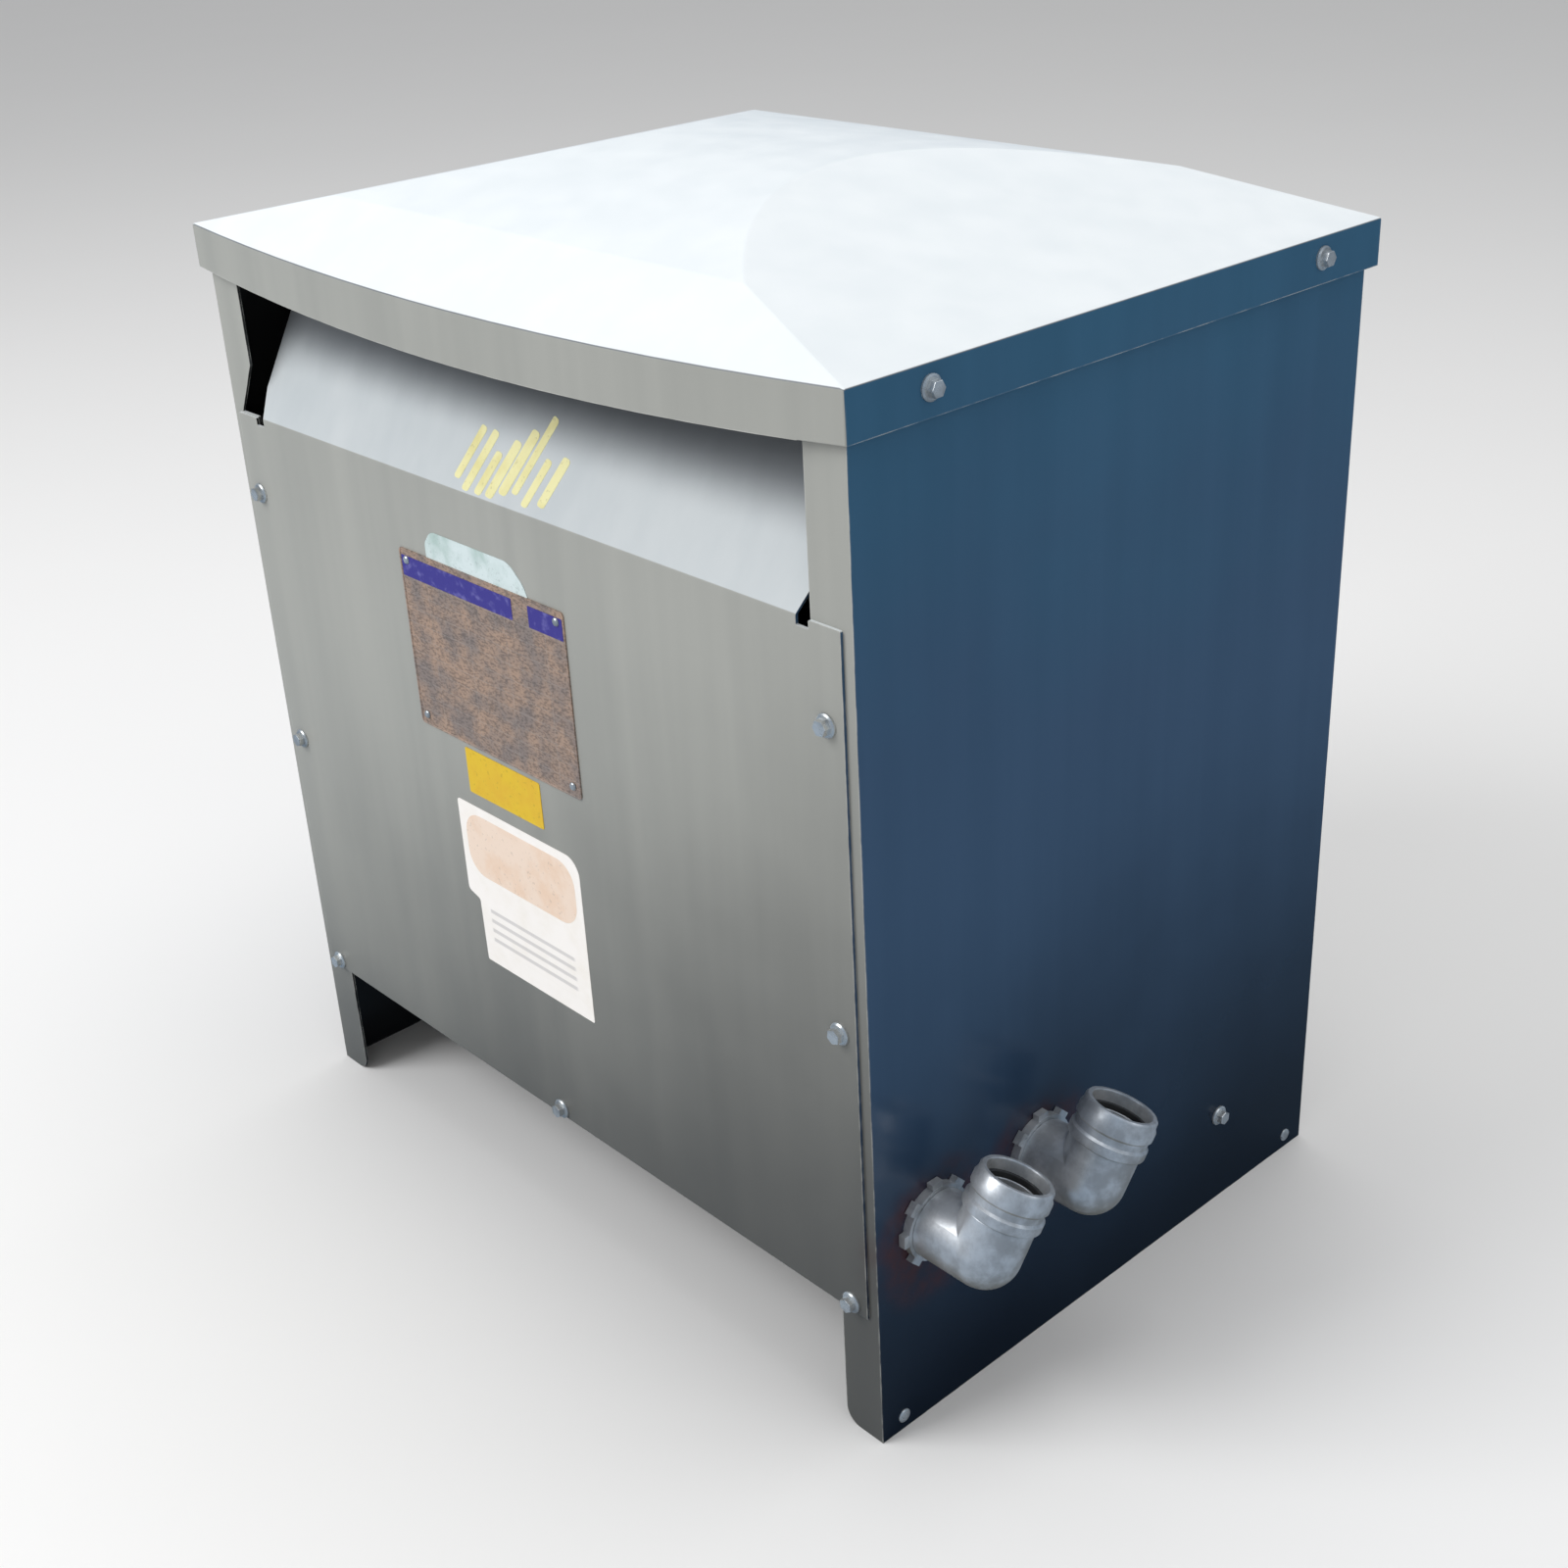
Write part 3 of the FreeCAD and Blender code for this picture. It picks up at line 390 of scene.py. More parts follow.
def surface(tree, shader, base, roughness):
    """Feed a colour and a roughness into the shader."""
    tree.links.new(base, shader.inputs["Base Color"])
    tree.links.new(roughness, shader.inputs["Roughness"])


def bump(tree, shader, height, strength, distance):
    """Feed a height into the shader's normal."""
    inputs = {"Height": height, "Strength": strength, "Distance": distance}
    raised = add_node(tree, "ShaderNodeBump", inputs)
    tree.links.new(raised.outputs["Normal"], shader.inputs["Normal"])


def paint_material():
    """Grey enamel with painted light and shade: painted slate-blue shade and reflection on the glossy sides,
    painted light on the hoods and on top, painted shade towards the floor, under the lid and inside the
    cabinet.
    """
    look = bpy.context.scene.cabinet_finish
    tree, shader = blank_material("cabinet_paint", Specular_IOR_Level=0.35)
    facing = effect(tree, "facing")
    # Painted shade towards the floor; the tilt paints the front lighter towards the left, where the key
    # light stands.
    low = effect(tree, "low", {"Low": 0.0, "High": 0.5, "Cloud": 0.14, "Tilt": 0.4})["Mask"]
    # Painted shade and reflection on the sides: darker towards the floor, lighter blue high up.
    low_side = effect(tree, "low", {"Low": 0.0, "High": 0.44, "Cloud": 0.16})["Mask"]
    below_eave = effect(tree, "low", {"Low": 0.42, "High": 0.74, "Cloud": 0.25})["Mask"]
    runs = effect(tree, "runs")["Value"]
    # Painted shade towards the floor on the front.
    front = mix(tree, low, look.front, look.foot)
    side = mix(tree, below_eave, look.eave_painted_reflection, look.side)
    side = mix(tree, low_side, side, look.side_foot_painted_shade)
    # The sideways faces take the painted blue shade and reflection in place of the front's grey.
    base = mix(tree, facing["Side"], front, side)
    # Painted shadow of the lid's skirt, on the hoods close under the lid.
    under_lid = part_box("lid")[0].z
    shade = spread(tree, split(tree)["Z"], under_lid - 62 * MM, under_lid - 26 * MM)
    hood = mix(tree, shade, look.hood, look.hood_shade)
    # Painted light on the leaning hoods.
    base = mix(tree, facing["Lean"], base, hood)
    # Painted shade on the faces that look into the cabinet.
    base = mix(tree, facing["Inner"], base, look.inside)
    # Painted light on the faces that look up.
    base = mix(tree, facing["Up"], base, look.top)
    base = mix(tree, 0.22, base, spread(tree, runs, 0.3, 0.7, 0.35, 0.65), "OVERLAY")
    for end in ("front", "rear"):
        low_corner, high_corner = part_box("conduit_ring_" + end)
        centre = (low_corner + high_corner) / 2
        centre.z -= 10 * MM
        mask = effect(tree, "stain", {"Centre": centre, "Reach": look.stain_reach})["Mask"]
        base = mix(tree, times(tree, mask, 0.75), base, look.stain)
    # Edge wear, and a painted highlight along the rounded folds.
    worn = effect(tree, "worn", {"Width": look.wear_width})["Mask"]
    base = mix(tree, times(tree, worn, 0.55), base, look.worn)
    rough = spread(tree, runs, 0.25, 0.75, 0.34, 0.5)
    glossy = spread(tree, runs, 0.25, 0.75, 0.14, 0.26)
    roughness = add_node(tree, "ShaderNodeMix", {0: facing["Side"], 2: rough, 3: glossy}).outputs[0]
    surface(tree, shader, base, roughness)
    grain = effect(tree, "grain", {"Grain": 700.0, "Wave": 6.0, "Share": 0.04})["Height"]
    bump(tree, shader, grain, 0.35, 1.2 * MM)


def zinc_material(name, tone, roughness, tan_share):
    """Plated or cast zinc with clouded sheen and dried dirt."""
    look = bpy.context.scene.fittings
    tree, shader = blank_material(name, Metallic=0.72)
    cloud = noise(tree, 60.0, 5.0)
    base = mix(tree, spread(tree, cloud, 0.35, 0.65), tone, scaled(tone, [0.62] * 3))
    down = spread(tree, split(tree, "Normal")["Z"], -0.9, 0.35, 1.0, 0.0)
    dirt = times(tree, down, spread(tree, cloud, 0.3, 0.6, 0.5, 1.0))
    base = mix(tree, times(tree, dirt, tan_share), base, look.tan)
    surface(tree, shader, base, spread(tree, cloud, 0.3, 0.7, roughness, roughness + 0.2))
    bump(tree, shader, noise(tree, 420.0, 3.0), 0.25, 0.3 * MM)


def film_material(name, tone, edge_tone, gloss):
    """Printed film, clouded and specked."""
    tree, shader = blank_material(name, Roughness=gloss)
    cloud = spread(tree, noise(tree, 45.0, 4.0), 0.4, 0.75)
    specks = spread(tree, noise(tree, 320.0, 2.0), 0.62, 0.72)
    base = mix(tree, cloud, tone, edge_tone)
    base = mix(tree, times(tree, specks, 0.35), base, scaled(tone, [0.45] * 3))
    surface(tree, shader, base, spread(tree, cloud, 0.0, 1.0, gloss, gloss + 0.2))
    bump(tree, shader, noise(tree, 70.0, 2.0), 0.3, 0.2 * MM)


def plate_material():
    """Brown etched metal: blotched, with faint ruled boxes."""
    look = bpy.context.scene.labels
    tree, shader = blank_material("plate_metal", Metallic=0.35)
    blotch = noise(tree, 42.0, 5.0)
    fine = noise(tree, 380.0, 3.0, stretched(tree, (1.0, 1.0, 2.2)))
    rubbed = scaled(look.plate, (1.5, 1.3, 1.1))
    pitted = scaled(look.plate, [0.35] * 3)
    base = mix(tree, spread(tree, blotch, 0.35, 0.65), look.plate, rubbed)
    base = mix(tree, spread(tree, fine, 0.45, 0.62, 0.0, 0.55), base, pitted)
    upright = {"Vector": object_place(tree), "Rotation": (math.radians(90), 0, 0)}
    turned = add_node(tree, "ShaderNodeMapping", upright)
    boxes = add_node(tree, "ShaderNodeTexBrick", {
        "Vector": turned.outputs[0], "Scale": 1.0, "Mortar Size": 0.35 * MM, "Mortar Smooth": 0.4,
        "Brick Width": 44 * MM, "Row Height": 11 * MM}, offset=0.0)
    base = mix(tree, times(tree, boxes.outputs["Fac"], 0.35), base, (0.5, 0.44, 0.4))
    surface(tree, shader, base, spread(tree, blotch, 0.3, 0.7, 0.38, 0.6))
    bump(tree, shader, fine, 0.2, 0.15 * MM)


def band_material():
    """Dark violet ink on metal, rubbed in places."""
    look = bpy.context.scene.labels
    tree, shader = blank_material("plate_band", Roughness=0.35)
    rubbed = spread(tree, noise(tree, 120.0, 4.0), 0.5, 0.7)
    base = mix(tree, times(tree, rubbed, 0.6), look.band, (0.2, 0.19, 0.5))
    tree.links.new(base, shader.inputs["Base Color"])


def white_film_material():
    """White film with faint grey ruled lines low down."""
    look = bpy.context.scene.labels
    tree, shader = blank_material("white_film")
    cloud = spread(tree, noise(tree, 30.0, 4.0), 0.4, 0.75)
    base = mix(tree, cloud, look.white, scaled(look.white, (0.93, 0.92, 0.89)))
    low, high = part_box("white_sticker")
    parts = split(tree)
    left = spread(tree, parts["X"], low.x + 24 * MM, low.x + 26 * MM)
    right = spread(tree, parts["X"], high.x - 18 * MM, high.x - 14 * MM, 1.0, 0.0)
    bottom = spread(tree, parts["Z"], low.z + 14 * MM, low.z + 16 * MM)
    top = spread(tree, parts["Z"], low.z + 46 * MM, low.z + 48 * MM, 1.0, 0.0)
    within = times(tree, times(tree, left, right), times(tree, bottom, top))
    rules = spread(tree, ridges(tree, parts["Z"], 8 * MM), 0.1, 0.6)
    mask = times(tree, within, rules)
    base = mix(tree, times(tree, mask, 0.5), base, (0.42, 0.41, 0.42))
    surface(tree, shader, base, spread(tree, cloud, 0.0, 1.0, 0.35, 0.55))
    bump(tree, shader, noise(tree, 60.0, 2.0), 0.3, 0.2 * MM)


def steel_material():
    """Dark primed steel with rust along its edges."""
    tree, shader = blank_material("frame_steel", Metallic=0.2)
    cloud = noise(tree, 26.0, 5.0)
    base = mix(tree, spread(tree, cloud, 0.35, 0.7), (0.055, 0.06, 0.065), (0.09, 0.08, 0.07))
    worn = effect(tree, "worn", {"Width": 1.5 * MM, "Breakup": 40.0})["Mask"]
    base = mix(tree, worn, base, (0.16, 0.07, 0.035))
    surface(tree, shader, base, spread(tree, cloud, 0.3, 0.7, 0.5, 0.75))
    bump(tree, shader, noise(tree, 500.0, 3.0), 0.3, 0.3 * MM)


def lamination_material():
    """Varnished steel sheets, stacked front to rear."""
    tree, shader = blank_material("core_steel", Metallic=0.55)
    sheets = ridges(tree, split(tree)["Y"], 1.4 * MM)
    cloud = noise(tree, 20.0, 4.0)
    base = mix(tree, spread(tree, sheets, -0.4, 0.9), (0.05, 0.045, 0.04), (0.17, 0.15, 0.13))
    base = mix(tree, spread(tree, cloud, 0.5, 0.7, 0.0, 0.7), base, (0.1, 0.05, 0.025))
    surface(tree, shader, base, spread(tree, cloud, 0.3, 0.7, 0.35, 0.6))
    bump(tree, shader, sheets, 0.5, 0.2 * MM)


def winding_material():
    """Varnished winding: turns one above another under amber varnish."""
    tree, shader = blank_material("varnished_winding", Coat_Weight=0.5, Coat_Roughness=0.2)
    turns = ridges(tree, split(tree)["Z"], 7 * MM)
    cloud = noise(tree, 34.0, 4.0)
    base = mix(tree, spread(tree, turns, -0.8, 0.6), (0.1, 0.045, 0.02), (0.3, 0.15, 0.06))
    base = mix(tree, spread(tree, cloud, 0.45, 0.7, 0.0, 0.6), base, (0.07, 0.03, 0.015))
    surface(tree, shader, base, spread(tree, cloud, 0.3, 0.7, 0.3, 0.55))
    bump(tree, shader, turns, 0.6, 0.8 * MM)


def plain_material(name, tone, dark, scale, roughness, metallic=0.0):
    """A clouded, finely grained surface."""
    tree, shader = blank_material(name, Metallic=metallic)
    cloud = noise(tree, scale, 5.0)
    base = mix(tree, spread(tree, cloud, 0.35, 0.68), tone, dark)
    surface(tree, shader, base, spread(tree, cloud, 0.3, 0.7, roughness, roughness + 0.18))
    bump(tree, shader, noise(tree, scale * 12, 3.0), 0.3, 0.3 * MM)


def make_finishes():
    """Every material, each under its slot's name."""
    fittings = bpy.context.scene.fittings
    labels = bpy.context.scene.labels
    paint_material()
    zinc_material("zinc_screw", fittings.zinc, 0.22, 0.25)
    zinc_material("conduit_zinc", fittings.cast, 0.32, 0.8)
    plate_material()
    band_material()
    white_film_material()
    film_material("yellow_film", labels.yellow, (0.72, 0.44, 0.02), 0.4)
    film_material("pale_film", labels.strip, (0.42, 0.55, 0.52), 0.25)
    film_material("faded_bar", labels.faded, (0.8, 0.6, 0.46), 0.45)
    film_material("brushed_paint", labels.paint, (0.74, 0.68, 0.3), 0.5)
    steel_material()
    lamination_material()
    winding_material()
    plain_material("insulating_board", (0.3, 0.07, 0.035), (0.2, 0.05, 0.03), 40.0, 0.5)
    plain_material("pad_rubber", (0.02, 0.02, 0.02), (0.035, 0.033, 0.03), 60.0, 0.7)
    plain_material("seal", (0.012, 0.012, 0.013), (0.03, 0.03, 0.03), 90.0, 0.5)
    plain_material("lug_aluminium", (0.6, 0.6, 0.6), (0.42, 0.42, 0.43), 70.0, 0.3, 0.9)


# ---- mesh helpers ----

def merged_copy(node):
    """A bmesh of a CAD node: loose triangles joined and flat faces made whole."""
    bm = bmesh.new()
    bm.from_mesh(NODES[node].data)
    bmesh.ops.remove_doubles(bm, verts=bm.verts[:], dist=WELD)
    bmesh.ops.dissolve_limit(bm, angle_limit=math.radians(0.3), verts=bm.verts[:], edges=bm.edges[:])
    return bm


def bevel(bm, edges, width, steps):
    """Round edges off."""
    if edges:
        bmesh.ops.bevel(bm, geom=edges, offset=width, offset_type="OFFSET", affect="EDGES",
                        segments=steps, profile=0.5, material=-1, clamp_overlap=True)


def sharp_edges(bm, angle=math.radians(28)):
    """Edges whose two faces meet at more than an angle."""
    return [edge for edge in bm.edges if len(edge.link_faces) == 2 and edge.calc_face_angle() > angle]


def bevel_all(bm, width, steps=2):
    """Round every sharp edge off."""
    bevel(bm, sharp_edges(bm), width, steps)


def piece(bm, name, slot, replaced=(), materials=()):
    """Make a bmesh a piece of the cabinet, with its finish."""
    bmesh.ops.dissolve_degenerate(bm, edges=bm.edges[:], dist=WELD)
    mesh = bpy.data.meshes.new(name)
    bm.to_mesh(mesh)
    bm.free()
    mesh.shade_smooth()
    mesh.set_sharp_from_angle(angle=math.radians(38))
    made = bpy.data.objects.new(name, mesh)
    bpy.context.scene.collection.objects.link(made)
    for material in materials or (slot,):
        mesh.materials.append(finishes[material])
    weighted = made.modifiers.new("Flat faces", "WEIGHTED_NORMAL")
    weighted.keep_sharp = True
    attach(made, "root")
    if replaced:
        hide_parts(*replaced)


def rounded_piece(node, ending, slot, width, steps=2):
    """A CAD node's own shape with its sharp edges rounded."""
    bm = merged_copy(node)
    bevel_all(bm, width, steps)
    piece(bm, node + ending, slot, [node])


def dress(node, finish):
    """Give a CAD node that stays shown its finish."""
    data = NODES[node].data
    data.materials.clear()
    data.materials.append(finishes[finish])


def islands(node):
    """Centre and half size of each separate solid of a CAD node, in a steady order."""
    bm = merged_copy(node)
    waiting = set(bm.verts)
    found = []
    while waiting:
        island = linked([next(iter(waiting))])
        waiting -= island
        corners = [vert.co for vert in island]
        low = Vector(map(min, *corners))
        high = Vector(map(max, *corners))
        found.append(((low + high) / 2, (high - low) / 2))
    bm.free()
    return sorted(found, key=lambda item: [round(value, 4) for value in item[0]])


def aim(direction, origin):
    """A matrix whose Z runs along direction from origin."""
    return Matrix.Translation(origin) @ Vector(direction).to_track_quat("Z", "Y").to_matrix().to_4x4()


def lathe(bm, profile, matrix, steps=48):
    """Spin a closed or pole-to-pole profile of (radius, height) pairs about matrix's Z."""
    closed = profile[0][0] > 0
    verts = [bm.verts.new((radius, 0, height)) for radius, height in profile]
    edges = [bm.edges.new(pair) for pair in zip(verts, verts[1:])]
    if closed:
        edges.append(bm.edges.new((verts[-1], verts[0])))
    spun = bmesh.ops.spin(bm, geom=verts + edges, cent=(0, 0, 0), axis=(0, 0, 1),
                          angle=2 * math.pi, steps=steps, use_merge=True)
    last = [item for item in spun["geom_last"] if isinstance(item, bmesh.types.BMVert)]
    made = linked(last or verts)
    bmesh.ops.remove_doubles(bm, verts=list(made), dist=WELD)
    made = linked([vert for vert in made if vert.is_valid])
    faces = {face for vert in made for face in vert.link_faces}
    bmesh.ops.recalc_face_normals(bm, faces=list(faces))
    bmesh.ops.transform(bm, matrix=matrix, verts=list(made))


def dome(radius, height, shoulder, facets):
    """Profile of a domed head whose upright rim rises to a share of its height."""
    profile = [(0, 0), (radius, 0)]
    if shoulder:
        profile.append((radius, shoulder * height))
    for step in range(1, facets):
        angle = math.radians(90 * step / facets)
        profile.append((radius * math.cos(angle), height * (shoulder + (1 - shoulder) * math.sin(angle))))
    return profile + [(0, height)]


def linked(seeds):
    """Every vertex joined to the seeds by edges."""
    reached = set(seeds)
    queue = list(seeds)
    while queue:
        vert = queue.pop()
        for edge in vert.link_edges:
            other = edge.other_vert(vert)
            if other not in reached:
                reached.add(other)
                queue.append(other)
    return reached


def slab(bm, outline, back, thickness, radii=(), steps=5):
    """A thin plate from an outline of (x, z) pairs, with rounded corners; returns its front face."""
    verts = [bm.verts.new((x, back, z)) for x, z in outline]
    face = bm.faces.new(verts)
    for vert, radius in zip(verts, radii):
        if radius > 0:
            bmesh.ops.bevel(bm, geom=[vert], offset=radius, offset_type="OFFSET", affect="VERTICES",
                            segments=steps, profile=0.5, material=-1)
    bm.faces.ensure_lookup_table()
    face = bm.faces[-1]
    raised = bmesh.ops.extrude_face_region(bm, geom=[face], use_keep_orig=True)
    moved = [item for item in raised["geom"] if isinstance(item, bmesh.types.BMVert)]
    bmesh.ops.translate(bm, vec=FRONT * thickness, verts=moved)
    faces = {side for vert in linked(moved) for side in vert.link_faces}
    bmesh.ops.recalc_face_normals(bm, faces=list(faces))
    return next(item for item in raised["geom"] if isinstance(item, bmesh.types.BMFace))


def rectangle(low_x, low_z, high_x, high_z):
    """Outline of an upright rectangle."""
    return [(low_x, low_z), (high_x, low_z), (high_x, high_z), (low_x, high_z)]


# ---- cabinet ----

def is_wide(face, edge, gauge):
    """True where a face is more than the sheet's own thickness beside an edge."""
    return face.calc_area() / edge.calc_length() > 1.2 * gauge


def folded_copy(node, least_angle=math.radians(8)):
    """A CAD sheet part whose folds are rounded, outside and inside."""
    folds = bpy.context.scene.sheet_folds
    bm = merged_copy(node)
    outer = []
    inner = []
    for edge in sharp_edges(bm, least_angle):
        if all(is_wide(face, edge, folds.gauge) for face in edge.link_faces):
            (outer if edge.is_convex else inner).append(edge)
    bevel(bm, outer, folds.fold, folds.steps)
    inner = [edge for edge in inner if edge.is_valid]
    bevel(bm, inner, folds.inner_fold, 2)
    return bm


def make_sheets(nodes):
    """Folded sheets whose cut edges are rounded too."""
    for node in nodes:
        bm = folded_copy(node)
        bevel_all(bm, bpy.context.scene.sheet_folds.cut_edge, 1)
        piece(bm, node + "_sheet", "cabinet_paint", [node])


class TRANSFORMER_OT_side_panels(bpy.types.Operator):
    """Side panels with rounded folds"""

    bl_idname = "transformer.side_panels"
    bl_label = "Side panels"

    def execute(self, context):
        make_sheets(("side_panel_left", "side_panel_right"))
        return {"FINISHED"}


class TRANSFORMER_OT_covers(bpy.types.Operator):
    """Front and rear covers with their hoods"""

    bl_idname = "transformer.covers"
    bl_label = "Covers"

    def execute(self, context):
        make_sheets(("front_cover", "rear_cover"))
        return {"FINISHED"}


class TRANSFORMER_OT_lid(bpy.types.Operator):
    """Hipped lid with its bowed skirt"""

    bl_idname = "transformer.lid"
    bl_label = "Lid"

    def execute(self, context):
        shallow_crease = math.radians(4)
        bm = folded_copy("lid", shallow_crease)
        piece(bm, "lid_sheet", "cabinet_paint", ["lid"])
        return {"FINISHED"}


# ---- screws ----

def hex_head(bm, matrix, washer_radius, washer, across, height, dish):
    """A hexagon head on a sloped washer face, dished on top."""
    rim_height = 0.55 * washer
    flat_radius = 0.86 * washer_radius
    slope = [(washer_radius, rim_height), (flat_radius, washer)]
    lathe(bm, [(0, 0), (washer_radius, 0), *slope, (0, washer)], matrix, 32)
    middle = Matrix.Translation((0, 0, (height + washer) / 2))
    head = bmesh.ops.create_cone(bm, cap_ends=True, segments=6, radius1=across, radius2=across,
                                 depth=height - washer, matrix=middle)
    verts = head["verts"]
    faces = [face for vert in verts for face in vert.link_faces]
    top = max(faces, key=lambda face: face.calc_center_median().z)
    rim = bmesh.ops.inset_region(bm, faces=[top], thickness=0.22 * across, depth=0)
    bmesh.ops.translate(bm, vec=(0, 0, -dish), verts=top.verts[:])
    dished = set(top.verts)
    rim_edges = {edge for face in rim["faces"] for edge in face.edges}
    outline = [edge for edge in rim_edges
               if all(abs(vert.co.z - height) < TOUCH and vert not in dished for vert in edge.verts)]
    whole = linked(verts)
    chamfer = 0.16 * across
    bevel(bm, outline, chamfer, 2)
    whole = linked([vert for vert in whole if vert.is_valid])
    bmesh.ops.transform(bm, matrix=matrix, verts=list(whole))


def outward(centre):
    """Which way a screw on the cabinet's skin points."""
    left = CAD_BOX[0][0]
    front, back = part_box("front_cover")[0].y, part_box("rear_cover")[1].y
    gaps = {
        (0, -1, 0): abs(centre.y - front),
        (0, 1, 0): abs(centre.y - back),
        (-1, 0, 0): abs(centre.x - left),
        (1, 0, 0): abs(centre.x + left),
    }
    return Vector(min(gaps, key=gaps.get))


class TRANSFORMER_OT_screws(bpy.types.Operator):
    """Hexagon screws of the covers, lid and base, and the small round foot screws"""

    bl_idname = "transformer.screws"
    bl_label = "Screws"

    def execute(self, context):
        dish = context.scene.fittings.socket_depth
        for node in ("front_cover_screws", "rear_cover_screws", "lid_screws", "base_bolts"):
            bm = bmesh.new()
            for centre, half in islands(node):
                direction = outward(centre)
                height = 2 * abs(half.dot(direction))
                radius = max(half)
                matrix = aim(direction, centre - direction * height / 2)
                spin = Matrix.Rotation(centre.z * 40, 4, "Z")
                hex_head(bm, matrix @ spin, radius, 0.3 * height, 0.7 * radius, height, dish)
            piece(bm, node + "_heads", "zinc_screw", [node])
        bm = bmesh.new()
        for centre, half in islands("foot_screws"):
            direction = outward(centre)
            height = 2 * abs(half.dot(direction))
            lathe(bm, dome(half.z, height, 0.3, 5), aim(direction, centre - direction * height / 2), 24)
        piece(bm, "foot_screws_heads", "zinc_screw", ["foot_screws"])
        return {"FINISHED"}


# ---- plate, stickers and paint marks ----

class TRANSFORMER_OT_plate(bpy.types.Operator):
    """Etched plate with its rim, its dark band and four rivets"""

    bl_idname = "transformer.plate"
    bl_label = "Plate"

    def execute(self, context):
        look = context.scene.labels
        low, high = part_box("rating_plate")
        thick = high.y - low.y
        bm = bmesh.new()
        face = slab(bm, rectangle(low.x, low.z, high.x, high.z), high.y, thick, [look.corner] * 4)
        bmesh.ops.inset_region(bm, faces=[face], thickness=1.2 * MM, depth=0)
        bmesh.ops.inset_region(bm, faces=[face], thickness=0.2 * MM, depth=-0.4 * thick)
        count = len(bm.faces)
        margin = 2.0 * MM
        width = high.x - low.x
        top = high.z - 5 * MM
        back = high.y - 0.6 * thick
        for start, end in ((0.0, 0.7), (0.8, 1.0)):
            left = low.x + margin + start * (width - 2 * margin)
            right = low.x + margin + end * (width - 2 * margin)
            outline = rectangle(left, top - look.band_height, right, top)
            slab(bm, outline, back, 0.25 * thick, [0.8 * MM] * 4, 3)
        for face in list(bm.faces)[count:]:
            face.material_index = 1
        piece(bm, "rating_plate_etched", "plate_metal", ["rating_plate"], ["plate_metal", "plate_band"])

        bm = bmesh.new()
        for centre, half in islands("plate_rivets"):
            lathe(bm, dome(half.x, 2 * half.y, 0, 6), aim(FRONT, centre - FRONT * half.y), 20)
        piece(bm, "plate_rivets_domed", "zinc_screw", ["plate_rivets"])
        return {"FINISHED"}


class TRANSFORMER_OT_stickers(bpy.types.Operator):
    """Pale strip, yellow sticker and white sticker, all blank"""

    bl_idname = "transformer.stickers"
    bl_label = "Stickers"

    def execute(self, context):
        low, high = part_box("pale_strip")
        slope = 0.6 * (high.z - low.z)
        bm = bmesh.new()
        outline = [(low.x, low.z), (high.x, low.z), (high.x - 4 * MM, low.z + 8 * MM),
                   (high.x - slope - 6 * MM, high.z), (low.x + 8 * MM, high.z), (low.x, low.z + 10 * MM)]
        slab(bm, outline, high.y, high.y - low.y, [0, 1 * MM, 4 * MM, 6 * MM, 5 * MM, 2 * MM])
        piece(bm, "pale_strip_film", "pale_film", ["pale_strip"])

        low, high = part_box("yellow_sticker")
        bm = bmesh.new()
        slab(bm, rectangle(low.x, low.z, high.x, high.z), high.y, high.y - low.y, [1.5 * MM] * 4)
        piece(bm, "yellow_sticker_film", "yellow_film", ["yellow_sticker"])

        low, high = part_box("white_sticker")
        thick = high.y - low.y
        step = high.z - 0.58 * (high.z - low.z)
        bm = bmesh.new()
        outline = [(low.x + 14 * MM, low.z), (high.x, low.z), (high.x, high.z), (low.x, high.z),
                   (low.x, step), (low.x + 13 * MM, step - 4 * MM)]
        slab(bm, outline, high.y, 0.6 * thick, [1.5 * MM, 1.5 * MM, 14 * MM, 3 * MM, 3 * MM, 2 * MM], 8)
        count = len(bm.faces)
        bar_low = high.z - 0.44 * (high.z - low.z)
        bar_high = high.z - 7 * MM
        bar = rectangle(low.x + 7 * MM, bar_low, high.x - 7 * MM, bar_high)
        slab(bm, bar, high.y - 0.6 * thick, 0.25 * thick, [18 * MM] * 4, 8)
        for face in list(bm.faces)[count:]:
            face.material_index = 1
        piece(bm, "white_sticker_film", "white_film", ["white_sticker"], ["white_film", "faded_bar"])
        return {"FINISHED"}


class TRANSFORMER_OT_paint_marks(bpy.types.Operator):
    """Slanted brush marks on the front hood"""

    bl_idname = "transformer.paint_marks"
    bl_label = "Paint marks"

    def execute(self, context):
        low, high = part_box("front_cover")
        corners = [vert.co for vert in NODES["front_cover"].data.vertices]
        fold = Vector((0, low.y, max(co.z for co in corners if co.y < low.y + TOUCH)))
        lip = Vector((0, min(co.y for co in corners if co.z > high.z - TOUCH), high.z))
        up_hood = (lip - fold).normalized()
        outwards = Vector((0, -up_hood.z, up_hood.y))
        bm = bmesh.new()
        random = Random(7)
        strokes = 8
        slant = 0.34
        across = -46 * MM
        for _ in range(strokes):
            rise = random.uniform(28, 52) * MM
            lean = slant * rise
            width = random.uniform(6.5, 9) * MM
            foot = random.uniform(2, 12) * MM
            verts = brush_stroke(bm, width, rise, lean)
            seat = fold + up_hood * foot
            place = Matrix((
                (1, 0, 0, across),
                (0, -outwards.y, up_hood.y, seat.y),
                (0, -outwards.z, up_hood.z, seat.z),
                (0, 0, 0, 1)))
            bmesh.ops.transform(bm, matrix=place, verts=verts)
            across += random.uniform(11, 16) * MM
        piece(bm, "hood_paint_marks", "pale_film", materials=["brushed_paint"])
        return {"FINISHED"}


